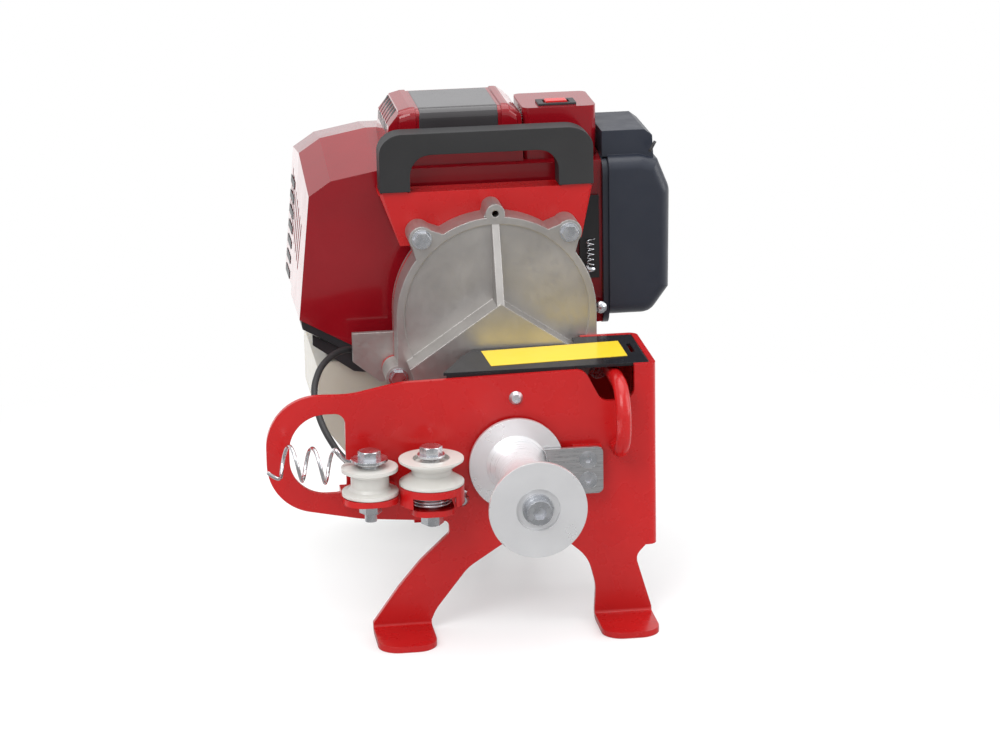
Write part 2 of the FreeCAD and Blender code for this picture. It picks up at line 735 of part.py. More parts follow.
def bar(path, diameter):
    """Round bar or tube along a path."""
    edge = path.Edges[0]
    start = edge.valueAt(edge.FirstParameter)
    heading = edge.tangentAt(edge.FirstParameter)
    ring = Part.Wire([Part.makeCircle(diameter / 2, start, heading)])
    return path.makePipeShell([ring], True, False)


def rope_hook_bar():
    x, reach = mm("hook_x"), mm("hook_reach")
    points = [
        Vector(x, mm("frame_depth") - mm("sheet_wall"), mm("hook_top")),
        Vector(x, -reach, mm("hook_top")),
        Vector(x, -reach, mm("hook_low")),
        Vector(x, 0, mm("hook_low")),
    ]
    path = bent_path(points, [mm("hook_bend"), mm("hook_bend")])
    return solid(bar(path, mm("hook_d")), "rope_hook_bar")


def top_cover_plate():
    body = place(new_body("top_cover_plate"))
    outline = [
        ("-1 * cover_left", "sheet_wall + 0.5"),
        ("-1 * (cover_left - 18)", "frame_depth - nose_depth - 14"),
        ("-1 * (cover_left - 26)", "frame_depth - nose_depth - 1"),
        ("nose_half - 12", "frame_depth - nose_depth - 1"),
        ("nose_half - 12", "frame_depth - sheet_wall - 1"),
        ("plate_right - sheet_wall - 0.5", "frame_depth - sheet_wall - 1"),
        ("plate_right - sheet_wall - 0.5", "sheet_wall + 0.5"),
    ]
    add(body, "XY", [outline], "plate_top", "plate_top + cover_wall")
    lip = [
        ("-1 * (cover_left - 2)", "plate_top + cover_wall"),
        ("-1 * (cover_left - 2)", "dome_z - 7"),
        ("notch_left - 6", "dome_z - 7"),
        ("notch_left - 6", "plate_top + cover_wall"),
    ]
    add(body, "XZ", [lip], "sheet_wall", "sheet_wall + cover_wall")
    slot = [
        ("notch_right + 3", "30"),
        ("notch_right + 6", "30"),
        ("notch_right + 6", "52"),
        ("notch_right + 3", "52"),
    ]
    cut(body, "XY", [slot], "plate_top", "plate_top + cover_wall")
    cut(body, "XZ", [("dome_x", "dome_z", "dome_screw_d + 0.4")], "sheet_wall", "sheet_wall + cover_wall")
    return body


STRIPPER_FRONT = "-1 * (stripper_gap + stripper_wall)"
STRIPPER_SCREWS = ["drum_z - stripper_screw_pitch / 2 - 5", "drum_z + stripper_screw_pitch / 2 - 5"]


def stripper_plate():
    body = place(new_body("stripper_plate"))
    outline = [
        ("stripper_left", "stripper_low"),
        ("stripper_right", "stripper_low"),
        ("stripper_right", "stripper_top"),
        ("stripper_left", "stripper_top"),
    ]
    add(body, "XZ", [outline], STRIPPER_FRONT, "-1 * stripper_gap")
    cut(body, "XZ", [(0, "drum_z", "barrel_end_d + 2")], STRIPPER_FRONT, "-1 * stripper_gap")
    holes = [("stripper_screw_x", z, "2 * stripper_screw_d") for z in STRIPPER_SCREWS]
    cut(body, "XZ", holes, STRIPPER_FRONT, "-1 * stripper_gap")
    right = mm("stripper_right")
    corners = [(right, mm("stripper_top")), (right, mm("stripper_low"))]
    round_where(body, "4", upright_at(*corners))
    return body


def stripper_screws():
    """Countersunk socket screws, each with its cup washer face in the plate."""
    screws = []
    length = "stripper_gap + stripper_wall + sheet_wall"
    for z in STRIPPER_SCREWS:
        seat = ("stripper_screw_x", STRIPPER_FRONT, z, "+Y")
        head = cylinder("2 * stripper_screw_d - 0.1", "stripper_wall", *seat)
        shank = cylinder("stripper_screw_d", length, *seat)
        screws.append(minus(fuse(head, shank), hexagon(4, 2, *seat)))
    return piece(group(*screws), "stripper_screws")


def plate_screws():
    """Dome head screws of the cover and of the spring stop, both in the front plate."""
    screws = []
    for x, z in (("dome_x", "dome_z"), ("-1 * stop_x", "stop_z")):
        dome = cone("2 * dome_screw_d - 0.5", "dome_screw_d + 1", "dome_screw_d / 2", x, 0, z, "-Y")
        shank = cylinder("dome_screw_d", "sheet_wall + cover_wall + 4", x, 0, z, "+Y")
        socket = hexagon(3, 1.6, x, "-1 * dome_screw_d / 2", z, "+Y")
        screws.append(minus(fuse(dome, shank), socket))
    return piece(group(*screws), "plate_screws")


def hex_screw(flats, head, diameter, length, x, y, z, back):
    """Flanged hexagon screw: the shank runs along back from y, the head the other way."""
    front = {"+Y": "-Y", "-Y": "+Y", "+Z": "-Z", "-Z": "+Z"}[back]
    flange = cylinder("1.35 * (%s)" % flats, 1.2, x, y, z, front)
    cap = hexagon(flats, head, x, y, z, front)
    shank = cylinder(diameter, length, x, y, z, back)
    return fuse(cap, flange, shank)


def nut(flats, length, bore, x, y, z, axis):
    return minus(hexagon(flats, length, x, y, z, axis), cylinder(bore, length, x, y, z, axis))


def lock_nuts():
    """Nuts behind the front plate and below the rollers."""
    nuts = [nut(8, 4, "dome_screw_d + 0.1", "-1 * stop_x", "sheet_wall", "stop_z", "+Y"),
            nut(8, 4, "dome_screw_d + 0.1", "dome_x", "sheet_wall + cover_wall", "dome_z", "+Y")]
    for z in STRIPPER_SCREWS:
        nuts.append(nut(10, 5, "stripper_screw_d + 0.1", "stripper_screw_x", "sheet_wall", z, "+Y"))
    for x, y, under, seat, tip in ROLLERS:
        level = under + " - washer_wall"
        nuts.append(nut("bolt_flats", "nut_length", "roller_bolt_d + 0.1", x, y, level, "-Z"))
    return piece(group(*nuts), "lock_nuts")


# Rollers

ROLLERS = [
    ("-1 * idler_x", "-1 * idler_y", "shelf_z", "idler_seat", "6"),
    ("-1 * vee_x", "-1 * vee_y", "lug_z", "vee_seat", "1.5"),
]


def roller_bolts():
    bolts = []
    for x, y, under, seat, tip in ROLLERS:
        top = "%s + washer_wall" % seat
        head = bolt_hexagon("bolt_flats", "bolt_head", x, y, top, "+Z")
        length = "%s - %s + nut_length + washer_wall + %s" % (top, under, tip)
        shank = cylinder("roller_bolt_d", length, x, y, top, "-Z")
        bolts.append(fuse(head, shank))
    return piece(group(*bolts), "roller_bolts")


def roller_bushes():
    bushes = []
    for x, y, under, seat, tip in ROLLERS:
        tube = cylinder("bush_d", "%s - %s - sheet_wall" % (seat, under), x, y, under + " + sheet_wall")
        bushes.append(minus(tube, cylinder("roller_bolt_d + 0.2", 60, x, y, under)))
    return piece(group(*bushes), "roller_bushes")


def roller_washers():
    washers = []
    for x, y, under, seat, tip in ROLLERS:
        wide = "idler_washer_d" if seat == "idler_seat" else "washer_d"
        for diameter, level in ((wide, seat), ("washer_d", "%s - washer_wall" % under)):
            disc = cylinder(diameter, "washer_wall", x, y, level)
            washers.append(minus(disc, cylinder("roller_bolt_d + 0.3", 3, x, y, level)))
    return piece(group(*washers), "roller_washers")


def idler_roller():
    low = "0"
    profile = [
        ("bush_d + 2 * running_gap", low),
        ("idler_d", low),
        ("idler_d", "idler_flange_wall"),
        ("idler_barrel_d + 3", "idler_flange_wall + 1.2"),
        ("idler_barrel_d", "idler_flange_wall + 3"),
        ("idler_barrel_d", "idler_length - idler_flange_wall - 3"),
        ("idler_barrel_d + 3", "idler_length - idler_flange_wall - 1.2"),
        ("idler_d", "idler_length - idler_flange_wall"),
        ("idler_d", "idler_length"),
        ("bush_d + 2 * running_gap", "idler_length"),
    ]
    level = "shelf_z + sheet_wall + side_gap"
    return lathe("idler_roller", profile, "-1 * idler_x", "-1 * idler_y", level, "+Z")


def tension_roller():
    profile = [
        ("bush_d + 2 * running_gap", "0"),
        ("vee_d", "0"),
        ("vee_d", "1.5"),
        ("vee_root_d", "vee_length / 2 - 1.5"),
        ("vee_root_d", "vee_length / 2 + 1.5"),
        ("vee_d", "vee_length - 1.5"),
        ("vee_d", "vee_length"),
        ("vee_recess_d", "vee_length"),
        ("vee_recess_d", "vee_length - 3"),
        ("bush_d + 2 * running_gap", "vee_length - 3"),
    ]
    return lathe("tension_roller", profile, "-1 * vee_x", "-1 * vee_y", "arm_top + side_gap", "+Z")


def tension_arm():
    """Cup over the torsion spring with a window at the front and a lever through the plate."""
    x, y = "-1 * vee_x", "-1 * vee_y"
    floor = "arm_top - arm_length"
    cup = cylinder("vee_d", "arm_length", x, y, floor)
    hollow = cylinder("vee_d - 2 * arm_wall", "arm_length - 3.5", x, y, floor)
    pivot = cylinder("bush_d + 2 * running_gap", "arm_length", x, y, floor)
    window = block("-1 * (vee_x + 14)", "-1 * (vee_x - 14)", "-1 * (vee_y + vee_d)", "-1 * vee_y - 6",
                   floor, "arm_top - 5")
    tail, tip = "-1 * (vee_y - vee_d / 2 + 3)", "sheet_wall + lever_reach"
    lever = block("-1 * (vee_x + 5)", "-1 * (vee_x - 5)", tail, tip, "arm_top - 3.5", "arm_top")
    wire_hole = cylinder(2, 4, "-1 * vee_x", "sheet_wall + lever_reach - 4", "arm_top - 3.6")
    return piece(minus(fuse(minus(cup, hollow, window), lever), pivot, wire_hole), "tension_arm")


def torsion_spring():
    """Coil round the bush, whose lower leg stands against the stop screw."""
    wire, turns, radius = mm("spring_wire"), mm("spring_turns"), mm("spring_radius")
    pitch = wire + 0.25
    x, y, low = -mm("vee_x"), -mm("vee_y"), mm("lug_z") + mm("sheet_wall") + wire / 2 + 0.4
    leg_end = Vector(-mm("stop_x") + 3, -wire - 0.6, mm("stop_z") + mm("dome_screw_d") + wire / 2)
    steps = 16
    points = [leg_end, Vector(leg_end.x - 9, leg_end.y - 5, low - 0.2)]
    for i in range(int(turns * steps) + 1):
        angle = 2 * math.pi * i / steps + math.radians(40)
        out = Vector(radius * math.cos(angle), radius * math.sin(angle), pitch * i / steps)
        points.append(Vector(x, y, low).add(out))
    curve = Part.BSplineCurve()
    curve.interpolate(points)
    return solid(bar(Part.Wire([curve.toShape()]), wire), "torsion_spring")


def pigtail_guide():
    """Open coil of round wire, clamped by an eye under the plain roller's washer."""
    wire = mm("pigtail_wire")
    centre = Vector(-mm("idler_x"), -mm("idler_y"), mm("idler_seat") - wire / 2)
    eye_radius = mm("bush_d") / 2 + wire / 2 + 0.3
    eye = Part.makeTorus(eye_radius, wire / 2, centre, Z_AXIS)
    coil_radius, pitch, turns = mm("pigtail_radius"), mm("pigtail_pitch"), mm("pigtail_turns")
    rise = mm("pigtail_rise")
    start = Vector(centre.x - 21, centre.y + 2, centre.z - 2.5)
    points = []
    steps = 8
    for i in range(int(turns * steps) + 1):
        angle = math.pi / 2 - 2 * math.pi * i / steps
        run = pitch * i / steps
        points.append(Vector(start.x - run, start.y + coil_radius * math.cos(angle),
                             start.z + rise * run + coil_radius * math.sin(angle)))
    points.append(points[-1].add(Vector(-8, -2, 5)))
    lead = [
        Vector(centre.x - 1, centre.y + eye_radius, centre.z),
        Vector(centre.x - 8, centre.y + eye_radius, centre.z - 0.3),
        Vector(centre.x - 15, centre.y + 5, centre.z + 0.5),
    ]
    curve = Part.BSplineCurve()
    curve.interpolate(lead + points)
    path = Part.Wire([curve.toShape()])
    wire_bar = bar(path, wire)
    return solid(eye.fuse(wire_bar), "pigtail_guide")


# Drum and output shaft


def capstan_drum():
    bore = "output_d + 2 * running_gap"
    profile = [(bore, "0"), ("drum_flange_d", "0"), ("drum_flange_d", "drum_flange_wall")]
    steps = 4
    flare = []
    for i in range(steps + 1):
        share = 1 - i / steps
        diameter = "barrel_d + (barrel_end_d - barrel_d) * %.4f" % share ** 2
        flare.append((diameter, "drum_flange_wall + barrel_taper * %.4f" % (1 - share)))
    profile += flare
    profile += [(diameter, "drum_length - (%s)" % height) for diameter, height in reversed(flare)]
    profile += [
        ("drum_flange_d", "drum_length - drum_flange_wall"),
        ("drum_flange_d", "drum_length"),
        ("drum_recess_d", "drum_length"),
        ("drum_recess_d", "drum_length - drum_recess"),
        (bore, "drum_length - drum_recess"),
    ]
    return lathe("capstan_drum", profile, 0, "-1 * drum_back_gap", "drum_z", "-Y")


def drum_bolt():
    face = "-1 * (drum_back_gap + drum_length - drum_recess)"
    washer = cylinder("drum_washer_d", 2.5, 0, face, "drum_z", "-Y")
    head = cylinder("1.6 * drum_bolt_d", "drum_bolt_d - 3", 0, face + " - 2.5", "drum_z", "-Y")
    socket = hexagon(8, 5, 0, face + " - drum_bolt_d + 0.5", "drum_z", "+Y")
    shank = cylinder("drum_bolt_d", 26, 0, face, "drum_z", "+Y")
    return piece(fuse(washer, minus(head, socket), shank), "drum_bolt")


def output_shaft():
    """Length along +Y from the drum's front end; the collar stands against the front bearing."""
    start = "drum_back_gap + drum_length - drum_recess - 2"
    profile = [
        ("0", "25"),
        ("drum_bolt_d + 0.1", "25"),
        ("drum_bolt_d + 0.1", "0"),
        ("output_d", "0"),
        ("output_d", start + " - drum_back_gap"),
        ("output_d + 4", start + " - drum_back_gap"),
        ("output_d + 4", start + " + sheet_wall - 0.2"),
        ("output_d", start + " + sheet_wall - 0.2"),
        ("output_d", start + " + slow_start + gear_width + 4"),
        ("0", start + " + slow_start + gear_width + 4"),
    ]
    return lathe("output_shaft", profile, 0, "-1 * (%s)" % start, "drum_z", "+Y")


def ball_bearing(bore, outer, width, x, y, z, axis):
    """Closed ball bearing with shield recesses on both faces."""
    ring = cylinder(outer, width, x, y, z, axis)
    hole = cylinder("%s + 2 * running_gap" % bore, width, x, y, z, axis)
    shields = []
    back = {"+Y": "%s + (%s) - 0.5", "-Y": "%s - (%s) + 0.5"}[axis] % (y, width)
    for level in (y, back):
        groove = cylinder("%s - 6" % outer, 0.5, x, level, z, axis)
        inner = cylinder("%s + 6" % bore, 0.5, x, level, z, axis)
        shields.append(minus(groove, inner))
    return minus(ring, hole, *shields)


def shaft_bearings():
    rear = "nose_face - bearing_width"
    bearings = [
        ball_bearing("output_d", "bearing_d", "bearing_width", 0, "sheet_wall", "drum_z", "+Y"),
        ball_bearing("output_d", "bearing_d", "bearing_width", 0, rear, "drum_z", "+Y"),
        ball_bearing("input_d", "input_bearing_d", "input_bearing_width", 0, "body_face", "crank_z", "+Y"),
    ]
    return piece(group(*bearings), "shaft_bearings")


def shaft_seal():
    ring = cylinder("bearing_d - 3", 4, 0, "nose_face - bearing_width - 4", "drum_z", "+Y")
    hole = cylinder("output_d + 0.2", 4, 0, "nose_face - bearing_width - 4", "drum_z", "+Y")
    return piece(minus(ring, hole), "shaft_seal")


# Reduction gearbox

CASE_BOSSES = [
    ("-1 * upper_boss_x", "upper_boss_z"),
    ("upper_boss_x", "upper_boss_z"),
    ("-1 * lower_boss_x", "lower_boss_z"),
    ("lower_boss_x", "lower_boss_z"),
    ("-1 * foot_boss_x", "foot_boss_z"),
    ("foot_boss_x", "foot_boss_z"),
]


def case_outlines(inset):
    """Two round ends and the straight sides between them, set in by the given amount."""
    upper = (0, "crank_z", "2 * (box_radius - %s)" % inset)
    lower = (0, "drum_z", "2 * (low_radius - %s)" % inset)
    sides = [
        ("-1 * (box_radius - %s)" % inset, "crank_z"),
        ("-1 * (box_radius - %s)" % inset, "lower_boss_z - 13"),
        ("-0.948 * (low_radius - %s)" % inset, "drum_z - 0.317 * (low_radius - %s)" % inset),
        ("0.948 * (low_radius - %s)" % inset, "drum_z - 0.317 * (low_radius - %s)" % inset),
        ("box_radius - %s" % inset, "lower_boss_z - 13"),
        ("box_radius - %s" % inset, "crank_z"),
    ]
    return [upper, lower, sides]


def neck(sign):
    """Web between the round case and an upper screw boss."""
    corners = [("upper_boss_x - 19.6", "upper_boss_z + 0.7"), ("upper_boss_x - 6.3", "upper_boss_z + 5.7"),
               ("upper_boss_x + 6.3", "upper_boss_z - 5.7"), ("upper_boss_x + 2.6", "upper_boss_z - 19.3")]
    return [("%s * (%s)" % (sign, x), z) for x, z in corners]


def add_case(body, start, end):
    for outline in case_outlines("0"):
        add(body, "XZ", [outline], start, end)
    for sign in ("-1", "1"):
        add(body, "XZ", [neck(sign)], start, end)
    for x, z in CASE_BOSSES:
        add(body, "XZ", [(x, z, "boss_d")], start, end)


def hollow_case(body, start, end):
    for outline in case_outlines("box_wall"):
        cut(body, "XZ", [outline], start, end)


def case_holes(body, bosses, start, end):
    cut(body, "XZ", [(x, z, "case_screw_d + 0.6") for x, z in bosses], start, end)


def nose_outlines(inset):
    """Roof shaped housing of the slow gears, set in by the given amount."""
    lower = (0, "drum_z", "2 * (nose_radius - %s)" % inset)
    roof = [
        ("0", "nose_top - 1.21 * %s" % inset),
        ("-1 * (nose_half - 1.19 * %s)" % inset, "nose_shoulder - 0.4 * %s" % inset),
        ("-0.95 * (nose_radius - %s)" % inset, "drum_z - 0.312 * (nose_radius - %s)" % inset),
        ("0.95 * (nose_radius - %s)" % inset, "drum_z - 0.312 * (nose_radius - %s)" % inset),
        ("nose_half - 1.19 * %s" % inset, "nose_shoulder - 0.4 * %s" % inset),
    ]
    return [lower, roof]


def gearbox_cover():
    body = place(new_body("gearbox_cover"))
    add_case(body, "frame_depth", "box_back")
    peak = [("-9", "lug_boss_z - 9"), ("-1 * lug_boss_d / 2", "lug_boss_z"), ("lug_boss_d / 2", "lug_boss_z"),
            ("9", "lug_boss_z - 9")]
    add(body, "XZ", [peak], "frame_depth + 4", "box_back")
    add(body, "XZ", [(0, "lug_boss_z", "lug_boss_d")], "frame_depth", "box_back")
    cut(body, "XZ", [(0, "crank_z", "2 * (box_radius - 5)")], "frame_depth", "frame_depth + rim_depth")
    for outline in nose_outlines("0"):
        add(body, "XZ", [outline], "nose_face", "frame_depth + box_wall")
    hollow_case(body, "frame_depth + box_wall", "box_back")
    for outline in nose_outlines("box_wall"):
        cut(body, "XZ", [outline], "nose_face + box_wall", "frame_depth + box_wall")
    gusset = [
        ("nose_face", "nose_top - 2"),
        ("frame_depth + rim_depth + 0.5", "nose_top - 4"),
        ("frame_depth + rim_depth + 0.5", "crank_z + box_radius - 5"),
        ("frame_depth", "crank_z + box_radius - 5"),
    ]
    add(body, "YZ", [gusset], "-2.5", "2.5")
    case_holes(body, CASE_BOSSES, "frame_depth", "box_back")
    cut(body, "XZ", [(0, "lug_boss_z", "lug_hole_d")], "frame_depth", "box_back")
    seat, mouth = "nose_face - bearing_width", "nose_face - bearing_width - 4"
    add(body, "XZ", [(0, "drum_z", "bearing_d + 9")], mouth, "nose_face + 1")
    cut(body, "XZ", [(0, "drum_z", "bearing_d + 2 * running_gap")], seat, "nose_face")
    cut(body, "XZ", [(0, "drum_z", "bearing_d - 3")], mouth, seat)
    cut(body, "XZ", [(0, "drum_z", "output_d + 5")], "nose_face", "nose_face + box_wall")
    add(body, "XZ", [("gear_x", "gear_z", "lay_d + 9")], "nose_face + box_wall - 1", "slow_start - 1")
    cut(body, "XZ", [("gear_x", "gear_z", "lay_d + 2 * running_gap")], "nose_face + 2", "slow_start - 1")
    return body


def gearbox_body():
    """Rear half of the gearbox with the clutch bell, cast in one."""
    body = place(new_body("gearbox_body"))
    add_case(body, "body_face", "body_face + box_wall")
    add(body, "XZ", [(0, "crank_z", "bell_d")], "body_face", "engine_front")
    for x, z in CASE_BOSSES:
        add(body, "XZ", [(x, z, "boss_d")], "body_face + box_wall - 1", "body_face + 13")
    ear = [("-1 * (box_radius + 28)", "lower_boss_z + 25"), ("-1 * (box_radius + 28)", "lower_boss_z + 5"),
           ("-1 * (box_radius + 10)", "lower_boss_z - 10"), ("-1 * (box_radius - 8)", "lower_boss_z - 10"),
           ("-1 * (box_radius - 8)", "lower_boss_z + 25")]
    add(body, "XZ", [ear], "body_face", "body_face + box_wall")
    bell = (0, "crank_z", "bell_d - 2 * box_wall")
    cut(body, "XZ", [bell], "body_face + input_bearing_width + 3", "engine_front")
    cut(body, "XZ", [(0, "crank_z", "input_bearing_d + 2 * running_gap")], "body_face",
        "body_face + input_bearing_width")
    cut(body, "XZ", [(0, "crank_z", "input_d + 3")], "body_face + input_bearing_width",
        "body_face + input_bearing_width + 3")
    case_holes(body, CASE_BOSSES, "body_face", "body_face + 13")
    add(body, "XZ", [("gear_x", "gear_z", "lay_d + 9")], "body_face + 1", "body_face + 9")
    cut(body, "XZ", [("gear_x", "gear_z", "lay_d + 2 * running_gap")], "body_face", "body_face + 7")
    return body


def case_screws():
    """Flanged screws at the gearbox's rim, some of them through the frame's rear flange."""
    free, framed = [], []
    for x, z in CASE_BOSSES:
        through_frame = "foot" in x or x == "lower_boss_x"
        start = "frame_depth - sheet_wall" if through_frame else "frame_depth"
        screw = hex_screw(10, 5, "case_screw_d", "body_face + 12 - (%s)" % start, x, start, z, "+Y")
        (framed if through_frame else free).append(screw)
    piece(group(*free), "gearbox_screws")
    piece(group(*framed), "frame_screws")


# share of the half pitch that a tooth fills at the pitch circle; the rest is play
TOOTH_SHARE = 0.87


def spur(teeth, module, bore, x, z, start, width, turn):
    """Spur gear about an axis along Y; turn is the angle of one tooth in the XZ plane."""
    pitch = teeth * module / 2
    tip, root = pitch + 0.95 * module, pitch - 1.2 * module
    step = 2 * math.pi / teeth
    half_pitch = step / 4 * TOOTH_SHARE
    half_tip = half_pitch - 0.95 * module * math.tan(math.radians(20)) / pitch
    half_root = half_pitch + 1.2 * module * math.tan(math.radians(20)) / pitch
    corners = []
    for i in range(teeth):
        middle = turn + i * step
        for offset, radius in ((-half_root, root), (-half_tip, tip), (half_tip, tip), (half_root, root)):
            angle = middle + offset
            corners.append(Vector(x + radius * math.cos(angle), start, z + radius * math.sin(angle)))
    blank = Part.Face(Part.makePolygon(corners + corners[:1])).extrude(Vector(0, width, 0))
    if bore:
        blank = blank.cut(Part.makeCylinder(bore / 2, width, Vector(x, start, z), Y_AXIS))
    return blank


def gear_train():
    """Two spur stages between the clutch drum and the drum shaft, in mesh at rest."""
    x, z = mm("gear_x"), mm("gear_z")
    width = mm("gear_width")
    fast, slow = mm("fast_module"), mm("slow_module")
    small, first, second = int(mm("pinion_teeth")), int(mm("first_teeth")), int(mm("second_teeth"))
    fast_start, slow_start = mm("fast_start"), mm("slow_start")
    down = math.atan2(z - mm("crank_z"), x)
    back = math.atan2(mm("drum_z") - z, -x)
    running = 2 * mm("running_gap")
    pinion = spur(small, fast, 0, 0, mm("crank_z"), fast_start, width, down)
    front = Part.makeCylinder(mm("input_d") / 2, mm("clutch_start") - fast_start - width + 3,
                              Vector(0, fast_start + width, mm("crank_z")), Y_AXIS)
    solid(pinion.fuse(front), "input_shaft")
    gap = math.pi / first
    gear = spur(first, fast, mm("lay_d") + running, x, z, fast_start, width, down + math.pi + gap)
    solid(gear, "first_gear")
    lay_pinion = spur(small, slow, 0, x, z, slow_start, width + 2, back)
    shaft_start = mm("nose_face") + 3
    shaft_end = mm("body_face") + 6
    shaft = Part.makeCylinder(mm("lay_d") / 2, shaft_end - shaft_start, Vector(x, shaft_start, z), Y_AXIS)
    collar = Part.makeCylinder(mm("lay_d") / 2 + 2, fast_start - slow_start - width - 2,
                               Vector(x, slow_start + width + 2, z), Y_AXIS)
    solid(shaft.fuse([lay_pinion, collar]), "intermediate_shaft")
    gap = math.pi / second
    slow_gear = spur(second, slow, mm("output_d") + running, 0, mm("drum_z"), slow_start, width,
                     back + math.pi + gap)
    solid(slow_gear, "output_gear")


def clutch_drum():
    wall = "3"
    start = "clutch_start"
    cup = cylinder("clutch_d", "clutch_length", 0, start, "crank_z", "+Y")
    hollow = cylinder("clutch_d - 2 * %s" % wall, "clutch_length", 0, start + " + " + wall, "crank_z", "+Y")
    bore = cylinder("input_d + 2 * running_gap", 6, 0, start, "crank_z", "+Y")
    return piece(minus(cup, hollow, bore), "clutch_drum")


def clutch_shoes():
    """Two flyweights on a hub at the crankshaft's front end."""
    start, width, reach = "clutch_start + 5", "clutch_length - 6", "clutch_d / 2 - 12"
    disc = cylinder("clutch_d - 10", width, 0, start, "crank_z", "+Y")
    bore = cylinder("crank_nose_d + 2 * running_gap", "clutch_length", 0, start, "crank_z", "+Y")
    split = block(-1.5, 1.5, start, start + " + clutch_length", "crank_z - clutch_d", "crank_z + clutch_d")
    core = cylinder("crank_nose_d + 14", width, 0, start, "crank_z", "+Y")
    ring = cylinder("crank_nose_d + 20", width, 0, start, "crank_z", "+Y")
    shoes = minus(disc, split, ring)
    link = block("-1 * (%s)" % reach, reach, start, start + " + 3", "crank_z - 5", "crank_z + 5")
    return piece(minus(fuse(shoes, core, link), bore), "clutch_shoes")


# Handle


def handle_bracket():
    """Sheet clamped between the gearbox halves, folded back round the hand opening."""
    body = place(new_body("handle_bracket"))
    back = "box_back + bracket_wall"
    for outline in case_outlines("0"):
        add(body, "XZ", [outline], "box_back", back)
    for sign in ("-1", "1"):
        add(body, "XZ", [neck(sign)], "box_back", back)
    for x, z in CASE_BOSSES:
        add(body, "XZ", [(x, z, "boss_d")], "box_back", back)
    wings = [
        ("handle_x - handle_half", "handle_top"),
        ("handle_x - handle_half", "handle_low"),
        ("-1 * (upper_boss_x + 12)", "upper_boss_z - 10"),
        ("upper_boss_x + 12", "upper_boss_z - 10"),
        ("handle_x + handle_half", "handle_low"),
        ("handle_x + handle_half", "handle_top"),
    ]
    add(body, "XZ", [wings], "box_back", back)
    opening = [
        ("handle_x - grip_inner_half", "grip_inner_top"),
        ("handle_x - grip_inner_half", "handle_low"),
        ("handle_x + grip_inner_half", "handle_low"),
        ("handle_x + grip_inner_half", "grip_inner_top"),
    ]
    cut(body, "XZ", [opening], "box_back", back)
    for outline in case_outlines("box_wall"):
        cut(body, "XZ", [outline], "box_back", back)
    case_holes(body, CASE_BOSSES, "box_back", back)
    shelf = [
        ("handle_x - grip_inner_half", back),
        ("handle_x + grip_inner_half", back),
        ("handle_x + grip_inner_half", "box_back + flange_depth"),
        ("handle_x - grip_inner_half", "box_back + flange_depth"),
    ]
    add(body, "XY", [shelf], "handle_low - bracket_wall", "handle_low")
    for side in ("-1", "1"):
        edge = "handle_x + %s * handle_half" % side
        inner = "handle_x + %s * (handle_half - bracket_wall)" % side
        flange = [
            (edge, back),
            (edge, "box_back + flange_depth"),
            (inner, "box_back + flange_depth"),
            (inner, back),
        ]
        add(body, "XY", [flange], "handle_low - 2", "handle_top - grip_radius")
    half, shift = mm("handle_half"), mm("handle_x")
    top = mm("handle_top")
    round_where(body, "grip_radius", upright_at((shift - half, top), (shift + half, top)))
    inner_half, inner_top = mm("grip_inner_half"), mm("grip_inner_top")
    corners = [(shift - inner_half, inner_top), (shift + inner_half, inner_top)]
    round_where(body, "grip_radius - 3", upright_at(*corners))
    return body


def loop_block(wall, radius, front, rear):
    """Block as wide and high as the handle and a wall more, rounded above."""
    blank = block("handle_x - handle_half - %s" % wall, "handle_x + handle_half + %s" % wall, front, rear,
                  "handle_low + 1", "handle_top + %s" % wall)
    top = mm("handle_low") + 10
    return rounded(blank, radius, lambda e: along(e, Y_AXIS) and e.CenterOfMass.z > top)


def palm_block(wall, front, rear):
    """Block as wide and high as the hand opening and a wall less, rounded above."""
    left = "handle_x - grip_inner_half + %s" % wall
    right = "handle_x + grip_inner_half - %s" % wall
    blank = block(left, right, front, rear, "handle_low", "grip_inner_top - %s" % wall)
    top = mm("handle_low") + 10
    return rounded(blank, mm("grip_radius") - 3, lambda e: along(e, Y_AXIS) and e.CenterOfMass.z > top)


def handle_grip():
    """Soft sleeve moulded round the loop of the handle."""
    front, rear = "box_back - grip_wall", "box_back + flange_depth + grip_wall"
    seat = "box_back + bracket_wall"
    radius = mm("grip_radius")
    outside = loop_block("grip_wall", radius + mm("grip_wall"), front, rear)
    sleeve = minus(outside, palm_block("grip_wall", front, rear))
    sheet_space = minus(loop_block("0", radius, "box_back", seat), palm_block("0", "box_back", seat))
    behind = seat + " + grip_wall"
    trough = minus(loop_block("0", radius, behind, rear), palm_block("0", behind, rear))
    flanges = []
    for side in ("-1", "1"):
        low, high = "handle_x - handle_half", "handle_x - handle_half + bracket_wall"
        if side == "1":
            low, high = "handle_x + handle_half - bracket_wall", "handle_x + handle_half"
        flanges.append(block(low, high, seat, rear, "handle_low", "handle_top - grip_radius + 0.2"))
    return piece(minus(sleeve, sheet_space, trough, *flanges), "handle_grip")


# Engine


